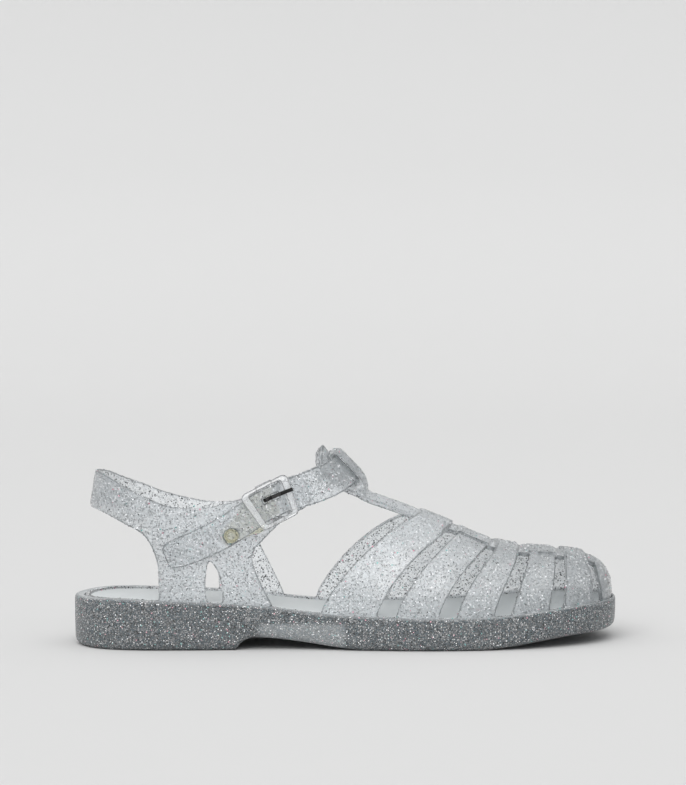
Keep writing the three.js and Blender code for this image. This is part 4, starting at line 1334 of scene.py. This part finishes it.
clear_plain, frame_tree, frame_shader = plastic(
    "buckle_clear_look", 0.05, (0.95, 0.96, 0.97), coat=1.0, transmission=0.8, ior=1.5
)
# Painted shade: the frame's rounded edges are painted dark, like the dark rim of thick clear plastic.
frame_edge_shade = painted(frame_tree, "edge_painted_shade")
frame_colour = blend(frame_tree, frame_edge_shade, (0.98, 0.99, 1.0), (0.22, 0.23, 0.24))
frame_tree.links.new(frame_colour, frame_shader.inputs["Base Color"])


def softened(node, voxel, passes):
    """Copy of a small moulded piece with its edges rounded."""
    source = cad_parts[node].data
    points = [(v.co.x * 1000, v.co.y * 1000 + MIDDLE_Y, v.co.z * 1000) for v in source.vertices]
    faces = [tuple(f.vertices) for f in source.polygons]
    return fused(node + "_look", points, faces, voxel, passes, 0.5)


# Painted light: away from its edges the frame glows a little, so its bars look brightly lit.
frame_shader.inputs["Emission Strength"].default_value = 1.0
frame_painted_glow = blend(frame_tree, frame_edge_shade, (0.09, 0.09, 0.09), (0.0, 0.0, 0.0))
frame_tree.links.new(frame_painted_glow, frame_shader.inputs["Emission Color"])
buckle = softened("buckle_frame", 0.18, 6)
line_edges(buckle)
buckle.data.materials.append(clear_plain)
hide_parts("buckle_frame")
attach(buckle, "root")

# The loop is a clear strip, a little yellowed, folded round the centre bar with its tail held on the
# quarter by a round stud of the same plastic.

loop_look = plastic("loop_look", 0.14, (0.97, 0.95, 0.8), coat=0.3, transmission=0.85, ior=1.45)[0]
buckle_loop = softened("buckle_loop", 0.16, 4)
buckle_loop.data.materials.append(loop_look)
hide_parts("buckle_loop")
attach(buckle_loop, "root")
stud = softened("loop_stud", 0.14, 4)
stud.data.materials.append(loop_look)
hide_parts("loop_stud")
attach(stud, "root")

# The prong is polished steel wire with an eye round the centre bar; its point rests on the frame.

pin_look, pin_tree, pin_shader = plastic("prong_look", 0.1, (0.07, 0.07, 0.07))
pin_shader.inputs["Metallic"].default_value = 1.0
prong = softened("buckle_pin", 0.12, 4)
prong.data.materials.append(pin_look)
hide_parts("buckle_pin")
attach(prong, "root")

# Studio: a pale plain floor that sweeps up far behind, an even dome and one wide soft light.

floor_look, floor_tree, floor_shader = plastic("floor_look", 0.9, (0.69, 0.69, 0.688))
floor_shader.inputs["Specular IOR Level"].default_value = 0.0
sweep = [(-3.0, 0.0), (1.5, 0.0), (1.9, 0.06), (2.2, 0.25), (2.4, 0.6), (2.5, 1.2), (2.5, 4.0)]
floor_points = [(x, y, z) for x in (-5.0, 5.0) for y, z in sweep]
floor_faces = [(n, n + len(sweep), n + len(sweep) + 1, n + 1) for n in range(len(sweep) - 1)]
floor_mesh = bpy.data.meshes.new("floor")
floor_mesh.from_pydata(floor_points, [], floor_faces)
floor_mesh.shade_smooth()
floor = bpy.data.objects.new("floor", floor_mesh)
floor_mesh.materials.append(floor_look)
bpy.context.scene.collection.objects.link(floor)

world = bpy.data.worlds.new("studio")
world.use_nodes = True
sky = world.node_tree
sky_place = sky.nodes.new("ShaderNodeTexCoord")
sky_split = sky.nodes.new("ShaderNodeSeparateXYZ")
sky.links.new(sky_place.outputs["Generated"], sky_split.inputs[0])
sky.links.new(
    blend(sky, step_mask(sky, sky_split.outputs[2], 0.05, 0.75), (0.22, 0.225, 0.23), (1.0, 1.0, 1.0)),
    sky.nodes["Background"].inputs["Color"],
)
sky.nodes["Background"].inputs["Strength"].default_value = 0.95
bpy.context.scene.world = world

light = bpy.data.lights.new("key", "SUN")
light.energy = 1.3
light.angle = math.radians(50)
key = bpy.data.objects.new("key", light)
key.rotation_euler = (math.radians(46), 0.0, math.radians(-20))
bpy.context.scene.collection.objects.link(key)

azimuth, pitch, elevation = math.radians(-4.0), math.radians(3.5), math.radians(7.1)
camera = bpy.data.objects.new("camera", bpy.data.cameras.new("camera"))
bpy.context.scene.collection.objects.link(camera)
camera.location = (
    math.sin(azimuth) * math.cos(elevation) * 1.491 - math.cos(azimuth) * 0.00216,
    -math.cos(azimuth) * math.cos(elevation) * 1.491 - math.sin(azimuth) * 0.00216 - MIDDLE_Y / 1000,
    math.sin(elevation) * 1.491 + 0.025,
)
camera.rotation_euler = (math.pi / 2 - pitch, 0.0, azimuth)
camera.data.lens = 142.6
camera.data.clip_end = 20.0
bpy.context.scene.camera = camera
bpy.context.scene.view_settings.view_transform = "Standard"
